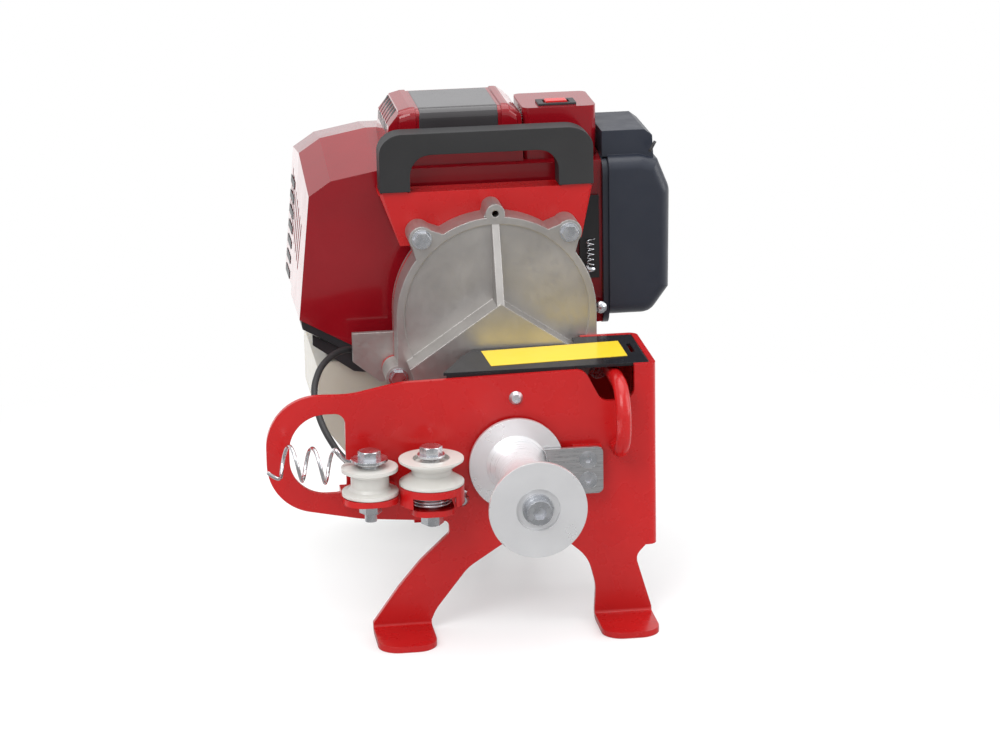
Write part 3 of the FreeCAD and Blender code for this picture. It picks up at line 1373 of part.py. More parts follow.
def engine_block():
    """Crankcase, finned cylinder and head in one casting."""
    body = place(new_body("engine_block"))
    case = [
        ("-1 * crankcase_half", "tank_top + 2"),
        ("crankcase_half", "tank_top + 2"),
        ("crankcase_half", "crank_z + 30"),
        ("crankcase_half - 10", "crank_z + 40"),
        ("-1 * (crankcase_half - 10)", "crank_z + 40"),
        ("-1 * crankcase_half", "crank_z + 30"),
    ]
    add(body, "XZ", [case], "engine_front", "fan_front")
    add(body, "XZ", [(0, "crank_z", "fan_housing_d")], "fan_front - 5", "fan_front")
    add(body, "XY", [(0, "cylinder_y", "bore_d + 6")], "crank_z + 38", "head_top")
    for i in range(7):
        level = "crank_z + 44 + %d * fin_pitch" % i
        fin = [("-1 * fin_half", "cylinder_y - fin_reach"), ("fin_half", "cylinder_y - fin_reach"),
               ("fin_half", "cylinder_y + fin_reach"), ("-1 * fin_half", "cylinder_y + fin_reach")]
        add(body, "XY", [fin], level, level + " + fin_wall")
    for side in ("-1", "1"):
        port = [("%s * 8" % side, "port_y - 12"), ("%s * (fin_half + 4)" % side, "port_y - 12"),
                ("%s * (fin_half + 4)" % side, "port_y + 12"), ("%s * 8" % side, "port_y + 12")]
        add(body, "XY", [port], "crank_z + 48", "crank_z + 72")
        post = [("%s * 24" % side, "crank_z + 70", 8)]
        add(body, "XZ", post, "engine_face + shroud_wall", "cylinder_y - fin_reach + 6")
    cut(body, "XZ", [(0, "crank_z", "crank_d + 2 * running_gap")], "engine_front", "fan_front")
    half, reach, y = mm("fin_half"), mm("fin_reach"), mm("cylinder_y")
    round_where(body, "6", standing_at((-half, y - reach), (half, y - reach)))
    return body


def crankshaft():
    profile = [
        ("0", "0"),
        ("crank_nose_d", "0"),
        ("crank_nose_d", "engine_front - clutch_start - 5"),
        ("crank_d", "engine_front - clutch_start - 5"),
        ("crank_d", "fan_front + 24 - clutch_start - 5"),
        ("crank_nose_d", "fan_front + 24 - clutch_start - 5"),
        ("crank_nose_d", "fan_front + 27 - clutch_start - 5"),
        ("0", "fan_front + 27 - clutch_start - 5"),
    ]
    return lathe("crankshaft", profile, 0, "clutch_start + 5", "crank_z", "+Y")


def flywheel_fan():
    start = "fan_front + 1.5"
    disc = cylinder("fan_d", 4, 0, start, "crank_z", "+Y")
    hub = cylinder("crank_d + 14", 16, 0, start, "crank_z", "+Y")
    rim = cylinder("fan_d - 22", 10, 0, start, "crank_z", "+Y")
    bore = cylinder("crank_d + 2 * running_gap", 20, 0, start, "crank_z", "+Y")
    blades = []
    for i in range(10):
        blade = doc.addObject("Part::Box", "blade")
        bind(blade, "Length", "14")
        bind(blade, "Width", "16")
        bind(blade, "Height", "2")
        angle = 36 * i
        radius = mm("fan_d") / 2 - 15
        blade.Placement = Placement(Vector(radius * math.cos(math.radians(angle)), mm("fan_front") + 1.5,
                                           mm("crank_z") - radius * math.sin(math.radians(angle))),
                                    Rotation(Y_AXIS, angle))
        blades.append(blade)
    return piece(minus(fuse(disc, hub, rim, *blades), bore), "flywheel_fan")


def starter_cup():
    start = "fan_front + 18"
    cup = cylinder("crank_d + 31", 9, 0, start, "crank_z", "+Y")
    hollow = cylinder("crank_d + 26", 7, 0, start + " + 2", "crank_z", "+Y")
    hub = cylinder("crank_d + 5", 5, 0, start, "crank_z", "+Y")
    bore = cylinder("crank_d + 2 * running_gap", 12, 0, start, "crank_z", "+Y")
    return piece(minus(fuse(minus(cup, hollow), hub), bore), "starter_cup")


def recoil_housing():
    """Round cover over the fan with air slots and the starter's spool post."""
    profile = [
        ("0", "recoil_depth"),
        ("0", "recoil_depth - shroud_wall"),
        ("fan_housing_d - 42", "recoil_depth - shroud_wall"),
        ("fan_housing_d - 42", "22"),
        ("fan_housing_d - 2 * shroud_wall", "18"),
        ("fan_housing_d - 2 * shroud_wall", "0"),
        ("fan_housing_d", "0"),
        ("fan_housing_d", "20"),
        ("fan_housing_d - 37", "25"),
        ("fan_housing_d - 37", "recoil_depth - 3"),
        ("fan_housing_d - 43", "recoil_depth"),
    ]
    shell = lathe("recoil_shell", profile, 0, "fan_front", "crank_z", "+Y")
    PARTS.remove(shell)
    put(shell, 0, "fan_front", "crank_z", "+Y")
    post = cylinder("spool_post_d", "26", 0, "fan_front + recoil_depth - 1", "crank_z", "-Y")
    slots = []
    for i in range(12):
        slot = doc.addObject("Part::Box", "slot")
        bind(slot, "Length", "14")
        bind(slot, "Width", "30")
        bind(slot, "Height", "4")
        angle = 30 * i + 10
        radius = mm("fan_housing_d") / 2 - 17.5
        slot.Placement = Placement(Vector(radius * math.cos(math.radians(angle)), mm("fan_front") + 14,
                                          mm("crank_z") - radius * math.sin(math.radians(angle))),
                                   Rotation(Y_AXIS, angle))
        slots.append(slot)
    guide = cylinder(13, 24.7, "rope_x", "fan_front + 33", "crank_z + 22", "+Z")
    rope_hole = cylinder("rope_d + 0.7", 60, "rope_x", "fan_front + 33", "crank_z", "+Z")
    return piece(minus(fuse(minus(shell, *slots), post, guide), rope_hole), "recoil_housing")


def recoil_spool():
    profile = [
        ("spool_post_d + 2 * running_gap", "0"),
        ("60", "0"),
        ("60", "2"),
        ("44", "3"),
        ("44", "8"),
        ("60", "9"),
        ("60", "11"),
        ("spool_post_d + 2 * running_gap", "11"),
    ]
    return lathe("recoil_spool", profile, 0, "fan_front + 28", "crank_z", "+Y")


def recoil_handle():
    """Grip that rests on the housing's guide, with the rope that runs through it."""
    x, y, z = "rope_x", "fan_front + 33", "crank_z + 47"
    stem = cylinder(14, 9, x, y, z)
    neck_cone = cone(14, 34, 5, x, y, z + " + 9")
    knob = cylinder(34, 5, x, y, z + " + 14")
    rope = cylinder("rope_d", 16, x, y, z + " - 16")
    return piece(fuse(stem, neck_cone, knob, rope), "recoil_handle")


def polygon_at(y, points):
    return Part.makePolygon([Vector(x, y, z) for x, z in points] + [Vector(points[0][0], y, points[0][1])])


def inset_polygon(points, wall):
    """Convex outline moved inwards by a wall, its corners kept."""
    count = len(points)
    moved = []
    for i in range(count):
        ax, az = points[i - 1]
        bx, bz = points[i]
        cx, cz = points[(i + 1) % count]
        one = Vector(bx - ax, bz - az, 0).normalize()
        two = Vector(cx - bx, cz - bz, 0).normalize()
        normals = [Vector(-one.y, one.x, 0), Vector(-two.y, two.x, 0)]
        across = normals[0].add(normals[1]).normalize()
        reach = wall / across.dot(normals[0])
        moved.append((bx + across.x * reach, bz + across.y * reach))
    return moved


def shroud():
    """Thin moulded cover of the engine's front, left side and top, open below and on the right."""
    left, top, right = -mm("shroud_left"), mm("shroud_top"), mm("shroud_right")
    face, back, wall = mm("engine_face"), mm("engine_back"), mm("shroud_wall")
    sections = [(face, 0), (face + 75, 14), (back, 8)]
    skins = []
    for inset, lead in ((0, 0), (wall, wall)):
        wires = []
        for y, rise in sections:
            level = y + lead if y == face else y + (1 if inset else 0)
            points = [
                (left + 36, top - 138),
                (right, top - 130),
                (right, top - 16 + rise),
                (left + 56, top - 16 + rise),
                (left + 24, top - 22 + rise),
                (left + 9, top - 32 + rise),
                (left, top - 118),
            ]
            points = inset_polygon(points, inset) if inset else points
            wires.append(polygon_at(level, points))
        skins.append(Part.makeLoft(wires, True, True))
    outer, inner = skins
    shell = outer.cut(inner)
    bell = Part.makeCylinder(mm("bell_d") / 2 + 1, 10, Vector(0, face - 2, mm("crank_z")), Y_AXIS)
    under = Part.makeBox(right + 80, 300, 130, Vector(-60, face + wall, top - 160))
    behind = Part.makeBox(right + 80, 100, 80, Vector(-60, mm("hood_back") + 6, top - 60))
    cap_notch = Part.makeBox(90, 100, 50, Vector(left - 10, mm("cap_front"), top - 162))
    hood_left, hood_right = -mm("hood_left") + 8, mm("hood_right") - 8
    hood_front, hood_back = mm("hood_front") + 8, mm("hood_back") - 8
    under_hood = Part.makeBox(hood_right - hood_left, hood_back - hood_front, 60,
                              Vector(hood_left, hood_front, top - 30))
    shell = shell.cut([bell, under, behind, cap_notch, under_hood])
    slots = []
    for i in range(8):
        slot = Part.makeBox(40, 4.2, 34)
        slot.rotate(Vector(), X_AXIS, 12)
        slot.translate(Vector(left - 20, face + 36 + 11 * i, top - 92 + 3.2 * i))
        slots.append(slot)
    shell = shell.cut(slots)
    return solid(shell, "shroud"), outer


def shroud_trim():
    """Black band under the lower edge of the shroud."""
    left, top = -mm("shroud_left"), mm("shroud_top")
    face, back = mm("engine_face"), mm("cap_front")
    line = [(left + 1, top - 118), (left + 36, top - 138), (-62, top - 134.5)]
    lower = [(-62, top - 140), (left + 36, top - 144), (left + 2, top - 125)]
    shape = Part.Face(polygon_at(face + 1, line + lower)).extrude(Vector(0, back - face - 1, 0))
    shell, outer = SHROUD
    return solid(shape.cut(outer), "shroud_trim")


def top_cover():
    """Raised cover over the cylinder head with slots on its left flank."""
    body = new_body("top_cover_blank")
    PARTS.remove(body)
    low = "shroud_top - 18"
    outline = [
        ("-1 * hood_left", low),
        ("-1 * hood_left + 3", "hood_top - 14"),
        ("-1 * hood_left + 10", "hood_top - 3"),
        ("-1 * hood_left + 18", "hood_top"),
        ("hood_right - 10", "hood_top"),
        ("hood_right - 1", "hood_top - 8"),
        ("hood_right", low),
    ]
    add(body, "XZ", [outline], "hood_front", "hood_back")
    inner = [
        ("-1 * (hood_left - 3)", low),
        ("-1 * (hood_left - 5)", "hood_top - 16"),
        ("-1 * (hood_left - 19)", "hood_top - 3"),
        ("hood_right - 11", "hood_top - 3"),
        ("hood_right - 3", "hood_top - 10"),
        ("hood_right - 3", low),
    ]
    cut(body, "XZ", [inner], "hood_front + 3", "hood_back - 3")
    for i in range(6):
        start = "hood_front + 8 + %d * 9" % i
        slot = [(start, "hood_top - 22"), (start + " + 4", "hood_top - 22"),
                (start + " + 12", "hood_top - 6"), (start + " + 8", "hood_top - 6")]
        cut(body, "YZ", [slot], "-1 * (hood_left + 1)", "-1 * (hood_left - 12)")
    front, top = mm("hood_front"), mm("hood_top")
    round_where(body, "6", lambda e: along(e, X_AXIS) and near(e, y=front, z=top))
    mould = doc.addObject("Part::Feature", "shroud_space")
    mould.Shape = SHROUD[1]
    return piece(minus(body, mould), "top_cover")


def switch_housing():
    mould = doc.addObject("Part::Feature", "shroud_space")
    mould.Shape = SHROUD[1]
    left, right, front, back = "hood_right + 0.5", "shroud_right - 2", "hood_front + 2", "hood_back - 14"
    case = block(left, right, front, back, "shroud_top - 18", "hood_top - 9")
    hollow = block(left + " + 2.5", right + " - 3", front + " + 3", back + " - 3", "shroud_top - 19",
                   "hood_top - 12")
    well = block("switch_x - 11.5", "switch_x + 11.5", "hood_front + 8", "hood_front + 22", "hood_top - 13",
                 "hood_top - 8")
    shell = minus(rounded(case, 5, lambda e: along(e, Z_AXIS)), hollow, well)
    return piece(minus(shell, mould), "switch_housing")


def switch_block(half, front, back, low, high):
    """Block round the stop switch's middle; levels count from the hood's top and front."""
    return block("switch_x - %s" % half, "switch_x + %s" % half, "hood_front + %s" % front,
                 "hood_front + %s" % back, "hood_top - %s" % low, "hood_top - %s" % high)


def stop_switch():
    """Socket and rocker of the engine stop switch."""
    socket = switch_block("11.3", "8.2", "21.8", "22", "7.5")
    bezel = switch_block("13", "7", "23", "9", "7.5")
    space = switch_block("9", "10", "20", "17", "7")
    bore = "2.5 + 2 * running_gap"
    pin_hole = cylinder(bore, 14, "switch_x", "hood_front + 8.2", "hood_top - 11", "+Y")
    piece(minus(fuse(socket, bezel), space, pin_hole), "stop_switch_base")
    top = mm("hood_top") - 8
    key = switch_block("7.5", "10.4", "19.6", "12.5", "6.5")
    key = rounded(key, 1, lambda e: along(e, Y_AXIS) and e.CenterOfMass.z > top)
    pin = cylinder(2.5, 13, "switch_x", "hood_front + 8.5", "hood_top - 11", "+Y")
    piece(fuse(key, pin), "stop_switch_rocker")


def muffler():
    inner = "-1 * (fan_housing_d / 2 + 3)"
    box = block("-1 * (shroud_left - 16)", inner, "port_y - 20", "port_y + 52", "crank_z - 2", "crank_z + 74")
    can = rounded(box, 12, lambda e: along(e, Y_AXIS))
    pipe = block(inner + " - 1", "-1 * (fin_half + 4)", "port_y - 11", "port_y + 11", "crank_z + 49",
                 "crank_z + 71")
    outlet = cylinder(14, 12, "-1 * (shroud_left - 40)", "port_y + 51", "crank_z + 12", "+Y")
    return piece(fuse(can, pipe, outlet), "muffler")


def carburettor():
    """Body, intake neck, bowl and the bracket that holds the cable's end."""
    middle = "(fin_half + cleaner_in) / 2 + 4"
    face, end = "fin_half + 9", "cleaner_in - 6"
    flange = block("fin_half + 4", face, "port_y - 14", "port_y + 14", "crank_z + 46", "crank_z + 74")
    barrel = cylinder(24, "cleaner_in - (%s)" % face, face, "port_y", "crank_z + 60", "+X")
    box = block(face + " + 4", end, "port_y - 14", "port_y + 14", "crank_z + 44", "crank_z + 74")
    bowl = cylinder(26, 9, middle, "port_y", "crank_z + 36")
    arm = block(face + " + 5", end + " - 1", "port_y - 38", "port_y - 13", "crank_z + 44", "crank_z + 46.5")
    holes = [
        cylinder("6 + 2 * running_gap", 12, "cleaner_in - 16", "port_y - 14", "crank_z + 62", "+Y"),
        cylinder("5 + 2 * running_gap", 6, "cleaner_in - 14", "port_y + 14", "crank_z + 66", "-Y"),
        cylinder("20", 5, middle, "port_y", "crank_z + 36"),
    ]
    solids = [flange, barrel, rounded(box, 3, lambda e: along(e, X_AXIS)), bowl, arm]
    return piece(minus(fuse(*solids), *holes), "carburettor")


def throttle_lever():
    boss = cylinder(10, 3, "cleaner_in - 16", "port_y - 14.4", "crank_z + 62", "-Y")
    lever = block("cleaner_in - 18.5", "cleaner_in - 13.5", "port_y - 17.4", "port_y - 15.4", "crank_z + 50",
                  "crank_z + 62")
    return piece(fuse(cylinder(6, 13, "cleaner_in - 16", "port_y - 4", "crank_z + 62", "-Y"), boss, lever),
                 "throttle_lever")


def choke_lever():
    pivot = cylinder(5, 6, "cleaner_in - 14", "port_y + 13", "crank_z + 66", "+Y")
    lever = block("cleaner_in - 16.5", "cleaner_in - 11.5", "port_y + 14.3", "port_y + 16.3", "crank_z + 66",
                  "crank_z + 84")
    knob = cylinder(8, 5, "cleaner_in - 14", "port_y + 14.3", "crank_z + 86", "+Y")
    return piece(fuse(pivot, lever, knob), "choke_lever")


def primer_bulb():
    """Soft dome below the carburettor that the thumb presses in."""
    x, y = "(fin_half + cleaner_in) / 2 + 4", "port_y"
    collar = cylinder(19.4, 2.5, x, y, "crank_z + 38", "-Z")
    dome = cone(16, 8, 6, x, y, "crank_z + 35.5", "-Z")
    return piece(fuse(collar, dome), "primer_bulb")


def air_cleaner():
    """Backplate on the carburettor, foam element and the two-step outer cover."""
    plate = block("cleaner_in", "cleaner_in + 4", "cleaner_front + 2", "cleaner_back - 2", "cleaner_low - 8",
                  "cleaner_top - 2")
    piece(rounded(plate, 12, lambda e: along(e, X_AXIS)), "air_cleaner_base")
    element = block("cleaner_in + 4", "cleaner_in + 22", "cleaner_front + 12", "cleaner_back - 12",
                    "cleaner_low + 14", "cleaner_top - 14")
    piece(rounded(element, 8, lambda e: along(e, X_AXIS)), "air_filter")
    body = place(new_body("air_cleaner_cover"))
    outline = [
        ("cleaner_in + 4", "cleaner_low"),
        ("cleaner_out - 16", "cleaner_low"),
        ("cleaner_out - 1", "cleaner_low + 18"),
        ("cleaner_out", "cleaner_top - 24"),
        ("cleaner_out - 9", "cleaner_top - 4"),
        ("cleaner_out - 22", "cleaner_top"),
        ("cleaner_in + 4", "cleaner_top"),
    ]
    add(body, "XZ", [outline], "cleaner_front", "cleaner_back")
    out, low, top = mm("cleaner_out"), mm("cleaner_low"), mm("cleaner_top")
    front, back, wall = mm("cleaner_front"), mm("cleaner_back"), mm("cleaner_in") + 4
    round_where(body, "14", upright_at((out - 16, low), (out, top - 24), (out - 22, top)))
    round_where(body, "9", lambda e: abs(e.CenterOfMass.y - front) < 0.01 and e.CenterOfMass.x > wall + 1)
    cap = [
        ("shroud_right + 0.5", "cleaner_top - 1"),
        ("cleaner_out - 12", "cleaner_top - 5"),
        ("cleaner_out - 13", "cleaner_top + 17"),
        ("cleaner_out - 19", "cleaner_top + 23"),
        ("shroud_right + 0.5", "cleaner_top + 23"),
    ]
    add(body, "XZ", [cap], "cleaner_front + 8", "cleaner_back - 18")
    hollow = [
        ("cleaner_in + 4", "cleaner_low + 8"),
        ("cleaner_out - 26", "cleaner_low + 8"),
        ("cleaner_out - 26", "cleaner_top - 8"),
        ("cleaner_in + 4", "cleaner_top - 8"),
    ]
    cut(body, "XZ", [hollow], "cleaner_front + 8", "cleaner_back - 8")
    return body


def spark_plug():
    base = fuse(cylinder(14, 6, 0, "cylinder_y", "head_top"), hexagon(16, 6, 0, "cylinder_y", "head_top + 6"))
    return piece(fuse(base, cylinder(10, 10, 0, "cylinder_y", "head_top + 12")), "spark_plug")


def fuel_tank():
    body = place(new_body("fuel_tank"))
    outline = [
        ("-1 * tank_left", "tank_top - 3"),
        ("-1 * tank_left", "tank_low + 46"),
        ("-1 * (tank_left - 18)", "tank_low + 22"),
        ("-1 * (tank_left - 40)", "tank_low"),
        ("tank_right - 14", "tank_low"),
        ("tank_right", "tank_low + 18"),
        ("tank_right", "tank_top - 3"),
        ("tank_right - 8", "tank_top"),
        ("-1 * (tank_left - 8)", "tank_top"),
    ]
    add(body, "XZ", [outline], "tank_front", "tank_back")
    cut(body, "XZ", [(0, "crank_z", "fan_housing_d + 3")], "fan_front - 6", "tank_back")
    add(body, "XY", [("cap_x", "cap_y", 34)], "tank_top - 1", "tank_top + 5")
    corners = [(-mm("tank_left") + 18, mm("tank_low") + 22), (-mm("tank_left") + 40, mm("tank_low")),
               (mm("tank_right") - 14, mm("tank_low")), (mm("tank_right"), mm("tank_low") + 18)]
    round_where(body, "10", upright_at(*corners))
    return body


def fuel_cap():
    level = "tank_top + 5.2"
    cap = cylinder(40, 11, "cap_x", "cap_y", level)
    ribs = []
    for i in range(12):
        angle = math.radians(30 * i)
        x, y = "cap_x + %.4f" % (20.5 * math.cos(angle)), "cap_y + %.4f" % (20.5 * math.sin(angle))
        ribs.append(cylinder(4, 11, x, y, level))
    return piece(minus(cap, *ribs), "fuel_cap")


def tank_guard():
    """Black plate in front of the tank, bolted under the crankcase."""
    body = place(new_body("tank_guard"))
    front = [
        ("-1 * (tank_left + 3)", "tank_top + 21"),
        ("-1 * (tank_left + 3)", "tank_top + 14"),
        ("-1 * (tank_left - 25)", "tank_top - 6"),
        ("-1 * (crankcase_half + 20)", "tank_top - 10"),
        ("-1 * (crankcase_half - 4)", "tank_low - 4"),
        ("crankcase_half - 4", "tank_low - 4"),
        ("crankcase_half + 4", "tank_top + 1.5"),
        ("-1 * (crankcase_half + 2)", "tank_top + 1.5"),
        ("-1 * (crankcase_half + 2)", "tank_top + 10"),
        ("-1 * (tank_left - 24)", "tank_top + 7"),
    ]
    add(body, "XZ", [front], "tank_front - 6", "tank_front - 3")
    cut(body, "XZ", [(0, "crank_z", "bell_d + 2")], "tank_front - 6", "tank_front - 3")
    base = [
        ("-1 * guard_half", "tank_front - 3"),
        ("guard_half", "tank_front - 3"),
        ("guard_half", "tank_back + 2"),
        ("-1 * guard_half", "tank_back + 2"),
    ]
    add(body, "XY", [base], "tank_low - 4", "tank_low")
    return body


def rear_stand():
    """Folded sheet stand that carries the engine end at the height of the frame's feet."""
    body = place(new_body("rear_stand"))
    base = [
        ("stand_x - stand_half - 3", "stand_front"),
        ("stand_x + stand_half + 3", "stand_front"),
        ("stand_x + stand_half + 3", "stand_back"),
        ("stand_x - stand_half - 3", "stand_back"),
    ]
    add(body, "XY", [base], "tank_low - 7", "tank_low - 4")
    for side in ("-1", "1"):
        leg = [
            ("stand_x + %s * stand_half" % side, "tank_low - 4"),
            ("stand_x + %s * (stand_spread - 12)" % side, "foot_pad"),
            ("stand_x + %s * (stand_spread + 11)" % side, "foot_pad"),
            ("stand_x + %s * (stand_spread + 11)" % side, "foot_pad + 3"),
            ("stand_x + %s * (stand_spread - 9)" % side, "foot_pad + 3"),
            ("stand_x + %s * (stand_half + 3)" % side, "tank_low - 4"),
        ]
        add(body, "XZ", [leg], "stand_front", "stand_back")
    return body


def stand_feet():
    feet = []
    for side in ("-1", "1"):
        for y in ("stand_front + 12", "stand_back - 12"):
            pad = cone(20, 22, "foot_pad", "stand_x + %s * stand_spread" % side, y, 0)
            feet.append(pad)
    return piece(group(*feet), "stand_feet")


# Throttle cable


def throttle_cable():
    """Outer cable from its clamp behind the front plate, round the gearbox, to the carburettor."""
    route = [
        Vector(-mm("cable_stop_x") - 0.4, mm("cable_start_y"), mm("cable_start_z")),
        Vector(-96, 13, 107.5),
        Vector(-112, 26, 114),
        Vector(-124, 46, 132),
        Vector(-127, 70, 150),
        Vector(-119, 92, 161),
        Vector(-104, 110, 166),
        Vector(-86, 121, 162),
        Vector(-71, 121.4, 147),
        Vector(-46, 121, 133),
        Vector(-14, 121, 128),
        Vector(18, 121, 130),
        Vector(45, 121, 138),
        Vector(60, 124, 150),
        Vector(65, 132, 163),
        Vector(65, 134, 182),
        Vector(65, 134, mm("crank_z") + 43.6),
    ]
    radii = []
    for before, point, after in zip(route, route[1:], route[2:]):
        one, two = point.sub(before), after.sub(point)
        turn = one.getAngle(two)
        radii.append(0.45 * min(one.Length, two.Length) / math.tan(turn / 2))
    path = bent_path(route, radii)
    tube = bar(path, mm("cable_d"))
    section = math.pi * mm("cable_d") ** 2 / 4
    print("cable length %.1f, volume ratio %.5f" % (path.Length, tube.Volume / (section * path.Length)))
    print("cable radii", [round(radius) for radius in radii])
    return solid(tube, "throttle_cable")


doc.recompute()
frame_plate()
rope_hook_bar()
top_cover_plate()
stripper_plate()
stripper_screws()
plate_screws()
roller_bolts()
roller_bushes()
roller_washers()
lock_nuts()
idler_roller()
tension_roller()
tension_arm()
torsion_spring()
pigtail_guide()
capstan_drum()
drum_bolt()
output_shaft()
shaft_bearings()
shaft_seal()
gearbox_cover()
gearbox_body()
case_screws()
gear_train()
clutch_drum()
clutch_shoes()
handle_bracket()
handle_grip()
engine_block()
crankshaft()
flywheel_fan()
starter_cup()
recoil_housing()
recoil_spool()
recoil_handle()
SHROUD = shroud()
shroud_trim()
top_cover()
switch_housing()
stop_switch()
muffler()
carburettor()
throttle_lever()
choke_lever()
primer_bulb()
air_cleaner()
spark_plug()
fuel_tank()
fuel_cap()
tank_guard()
rear_stand()
stand_feet()
throttle_cable()

# Origin at the bottom centre of the whole winch
doc.recompute()
whole = Part.makeCompound([item.Shape for item in PARTS]).BoundBox
sheet.set("B1", "%.4f" % (-(whole.XMin + whole.XMax) / 2))
sheet.set("B2", "%.4f" % (-(whole.YMin + whole.YMax) / 2))
doc.recompute()

# Every object is sound before anything is written
failed = [item.Name for item in doc.Objects if "Invalid" in item.State or "Error" in item.State]
failed += [item.Label for item in PARTS if item.Shape.isNull() or not item.Shape.isValid()]
if failed:
    raise RuntimeError("unsound: " + ", ".join(failed))
for item in PARTS:
    item.Shape.exportStep("parts/%s.step" % item.Label)
print("origin shift", sheet.get("origin_x"), sheet.get("origin_y"), "pieces", len(PARTS))
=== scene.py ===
"""Looks of the petrol capstan winch: finishes, small trim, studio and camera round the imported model."""

import math

import bmesh
import bpy
from mathutils import Matrix, Vector

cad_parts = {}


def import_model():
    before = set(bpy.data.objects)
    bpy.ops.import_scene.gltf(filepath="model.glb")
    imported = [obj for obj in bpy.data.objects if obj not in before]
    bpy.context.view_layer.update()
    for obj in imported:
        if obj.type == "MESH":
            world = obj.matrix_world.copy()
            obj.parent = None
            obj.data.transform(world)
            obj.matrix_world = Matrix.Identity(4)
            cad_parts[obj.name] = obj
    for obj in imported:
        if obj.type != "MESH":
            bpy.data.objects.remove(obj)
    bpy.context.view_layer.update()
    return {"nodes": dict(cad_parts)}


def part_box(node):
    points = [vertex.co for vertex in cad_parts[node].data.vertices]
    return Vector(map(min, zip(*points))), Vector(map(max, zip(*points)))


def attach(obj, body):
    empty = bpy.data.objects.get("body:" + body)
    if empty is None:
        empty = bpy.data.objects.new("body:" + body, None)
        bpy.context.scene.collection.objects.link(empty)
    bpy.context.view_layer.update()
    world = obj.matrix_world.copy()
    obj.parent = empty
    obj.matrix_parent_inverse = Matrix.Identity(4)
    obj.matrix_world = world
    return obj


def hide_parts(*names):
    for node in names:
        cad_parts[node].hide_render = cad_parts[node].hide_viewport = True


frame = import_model()

# The winch's own frame: drum axis on x = 0, front face of the frame on y = 0, floor on z = 0
MM = 0.001
DRUM_GAP = 3  # between the drum's rear flange and the front face of the frame
drum_low, drum_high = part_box("capstan_drum")
ORIGIN = Vector(((drum_low.x + drum_high.x) / 2, drum_high.y + DRUM_GAP * MM, 0))


def at(x, y, z):
    """A point given in the winch's own frame in millimetres."""
    return ORIGIN + Vector((x, y, z)) * MM


# Finishes. Colours are linear and come in pairs that a pattern mixes, pattern scales are per metre,
# and radii and heights are in millimetres.

PATTERN_LOW, PATTERN_HIGH = 0.3, 0.7  # the share of a noise's range that carries a change


class Finish:
    """A principled material and the nodes behind it."""

    def __init__(self, name, **values):
        self.material = bpy.data.materials.new(name)
        self.material.use_nodes = True
        self.nodes = self.material.node_tree.nodes
        self.links = self.material.node_tree.links
        self.shader = self.nodes["Principled BSDF"]
        for key, value in values.items():
            self.shader.inputs[key.replace("_", " ")].default_value = value
        self.place = self.nodes.new("ShaderNodeTexCoord").outputs["Object"]
        self.normal = None

    def noise(self, scale, detail=4, stretch=(1, 1, 1)):
        """Cloudy pattern, drawn out along the axes where stretch is small."""
        mapping = self.nodes.new("ShaderNodeMapping")
        mapping.inputs["Scale"].default_value = stretch
        texture = self.nodes.new("ShaderNodeTexNoise")
        texture.inputs["Scale"].default_value = scale
        texture.inputs["Detail"].default_value = detail
        self.links.new(self.place, mapping.inputs["Vector"])
        self.links.new(mapping.outputs["Vector"], texture.inputs["Vector"])
        return texture.outputs["Fac"]

    def cells(self, scale):
        """Pitted pattern."""
        texture = self.nodes.new("ShaderNodeTexVoronoi")
        texture.inputs["Scale"].default_value = scale
        self.links.new(self.place, texture.inputs["Vector"])
        return texture.outputs["Distance"]

    def colour(self, pattern, low, high):
        ramp = self.nodes.new("ShaderNodeValToRGB")
        stops = ((PATTERN_LOW, low), (PATTERN_HIGH, high))
        for element, (position, tone) in zip(ramp.color_ramp.elements, stops):
            element.position = position
            element.color = (*tone, 1)
        self.links.new(pattern, ramp.inputs["Fac"])
        self.links.new(ramp.outputs["Color"], self.shader.inputs["Base Color"])
        return self

    def roughness(self, pattern, low, high):
        span = self.nodes.new("ShaderNodeMapRange")
        span.inputs["From Min"].default_value = PATTERN_LOW
        span.inputs["From Max"].default_value = PATTERN_HIGH
        span.inputs["To Min"].default_value = low
        span.inputs["To Max"].default_value = high
        self.links.new(pattern, span.inputs["Value"])
        self.links.new(span.outputs["Result"], self.shader.inputs["Roughness"])
        return self

    def edge(self, radius):
        """Soften the look of sharp edges by a radius in millimetres."""
        bevel = self.nodes.new("ShaderNodeBevel")
        bevel.samples = 4
        bevel.inputs["Radius"].default_value = radius * MM
        self.normal = bevel.outputs["Normal"]
        self.links.new(self.normal, self.shader.inputs["Normal"])
        return self

    def bump(self, pattern, height, strength=1.0):
        """Raise the surface by a pattern, height in millimetres."""
        node = self.nodes.new("ShaderNodeBump")
        node.inputs["Distance"].default_value = height * MM
        node.inputs["Strength"].default_value = strength
        self.links.new(pattern, node.inputs["Height"])
        if self.normal:
            self.links.new(self.normal, node.inputs["Normal"])
        self.normal = node.outputs["Normal"]
        self.links.new(self.normal, self.shader.inputs["Normal"])
        return self


def powder_coat(name, low, high, rough, coat):
    """Baked paint with faint orange peel."""
    f = Finish(name, Coat_Weight=coat, Coat_Roughness=0.06, Specular_IOR_Level=0.35)
    f.colour(f.noise(14, 3), low, high).roughness(f.noise(60), rough, rough + 0.08)
    return f.edge(0.5).bump(f.noise(420, 2), 0.04, 0.25)


def moulded(name, low, high, rough, coat=0.0, grain=0.04, scale=1500):
    """Injection moulded plastic with a fine grain."""
    f = Finish(name, Coat_Weight=coat, Coat_Roughness=0.08)
    f.colour(f.noise(9, 3), low, high).roughness(f.noise(90), rough, rough + 0.1)
    return f.edge(0.8).bump(f.noise(scale, 3), grain, 0.4)


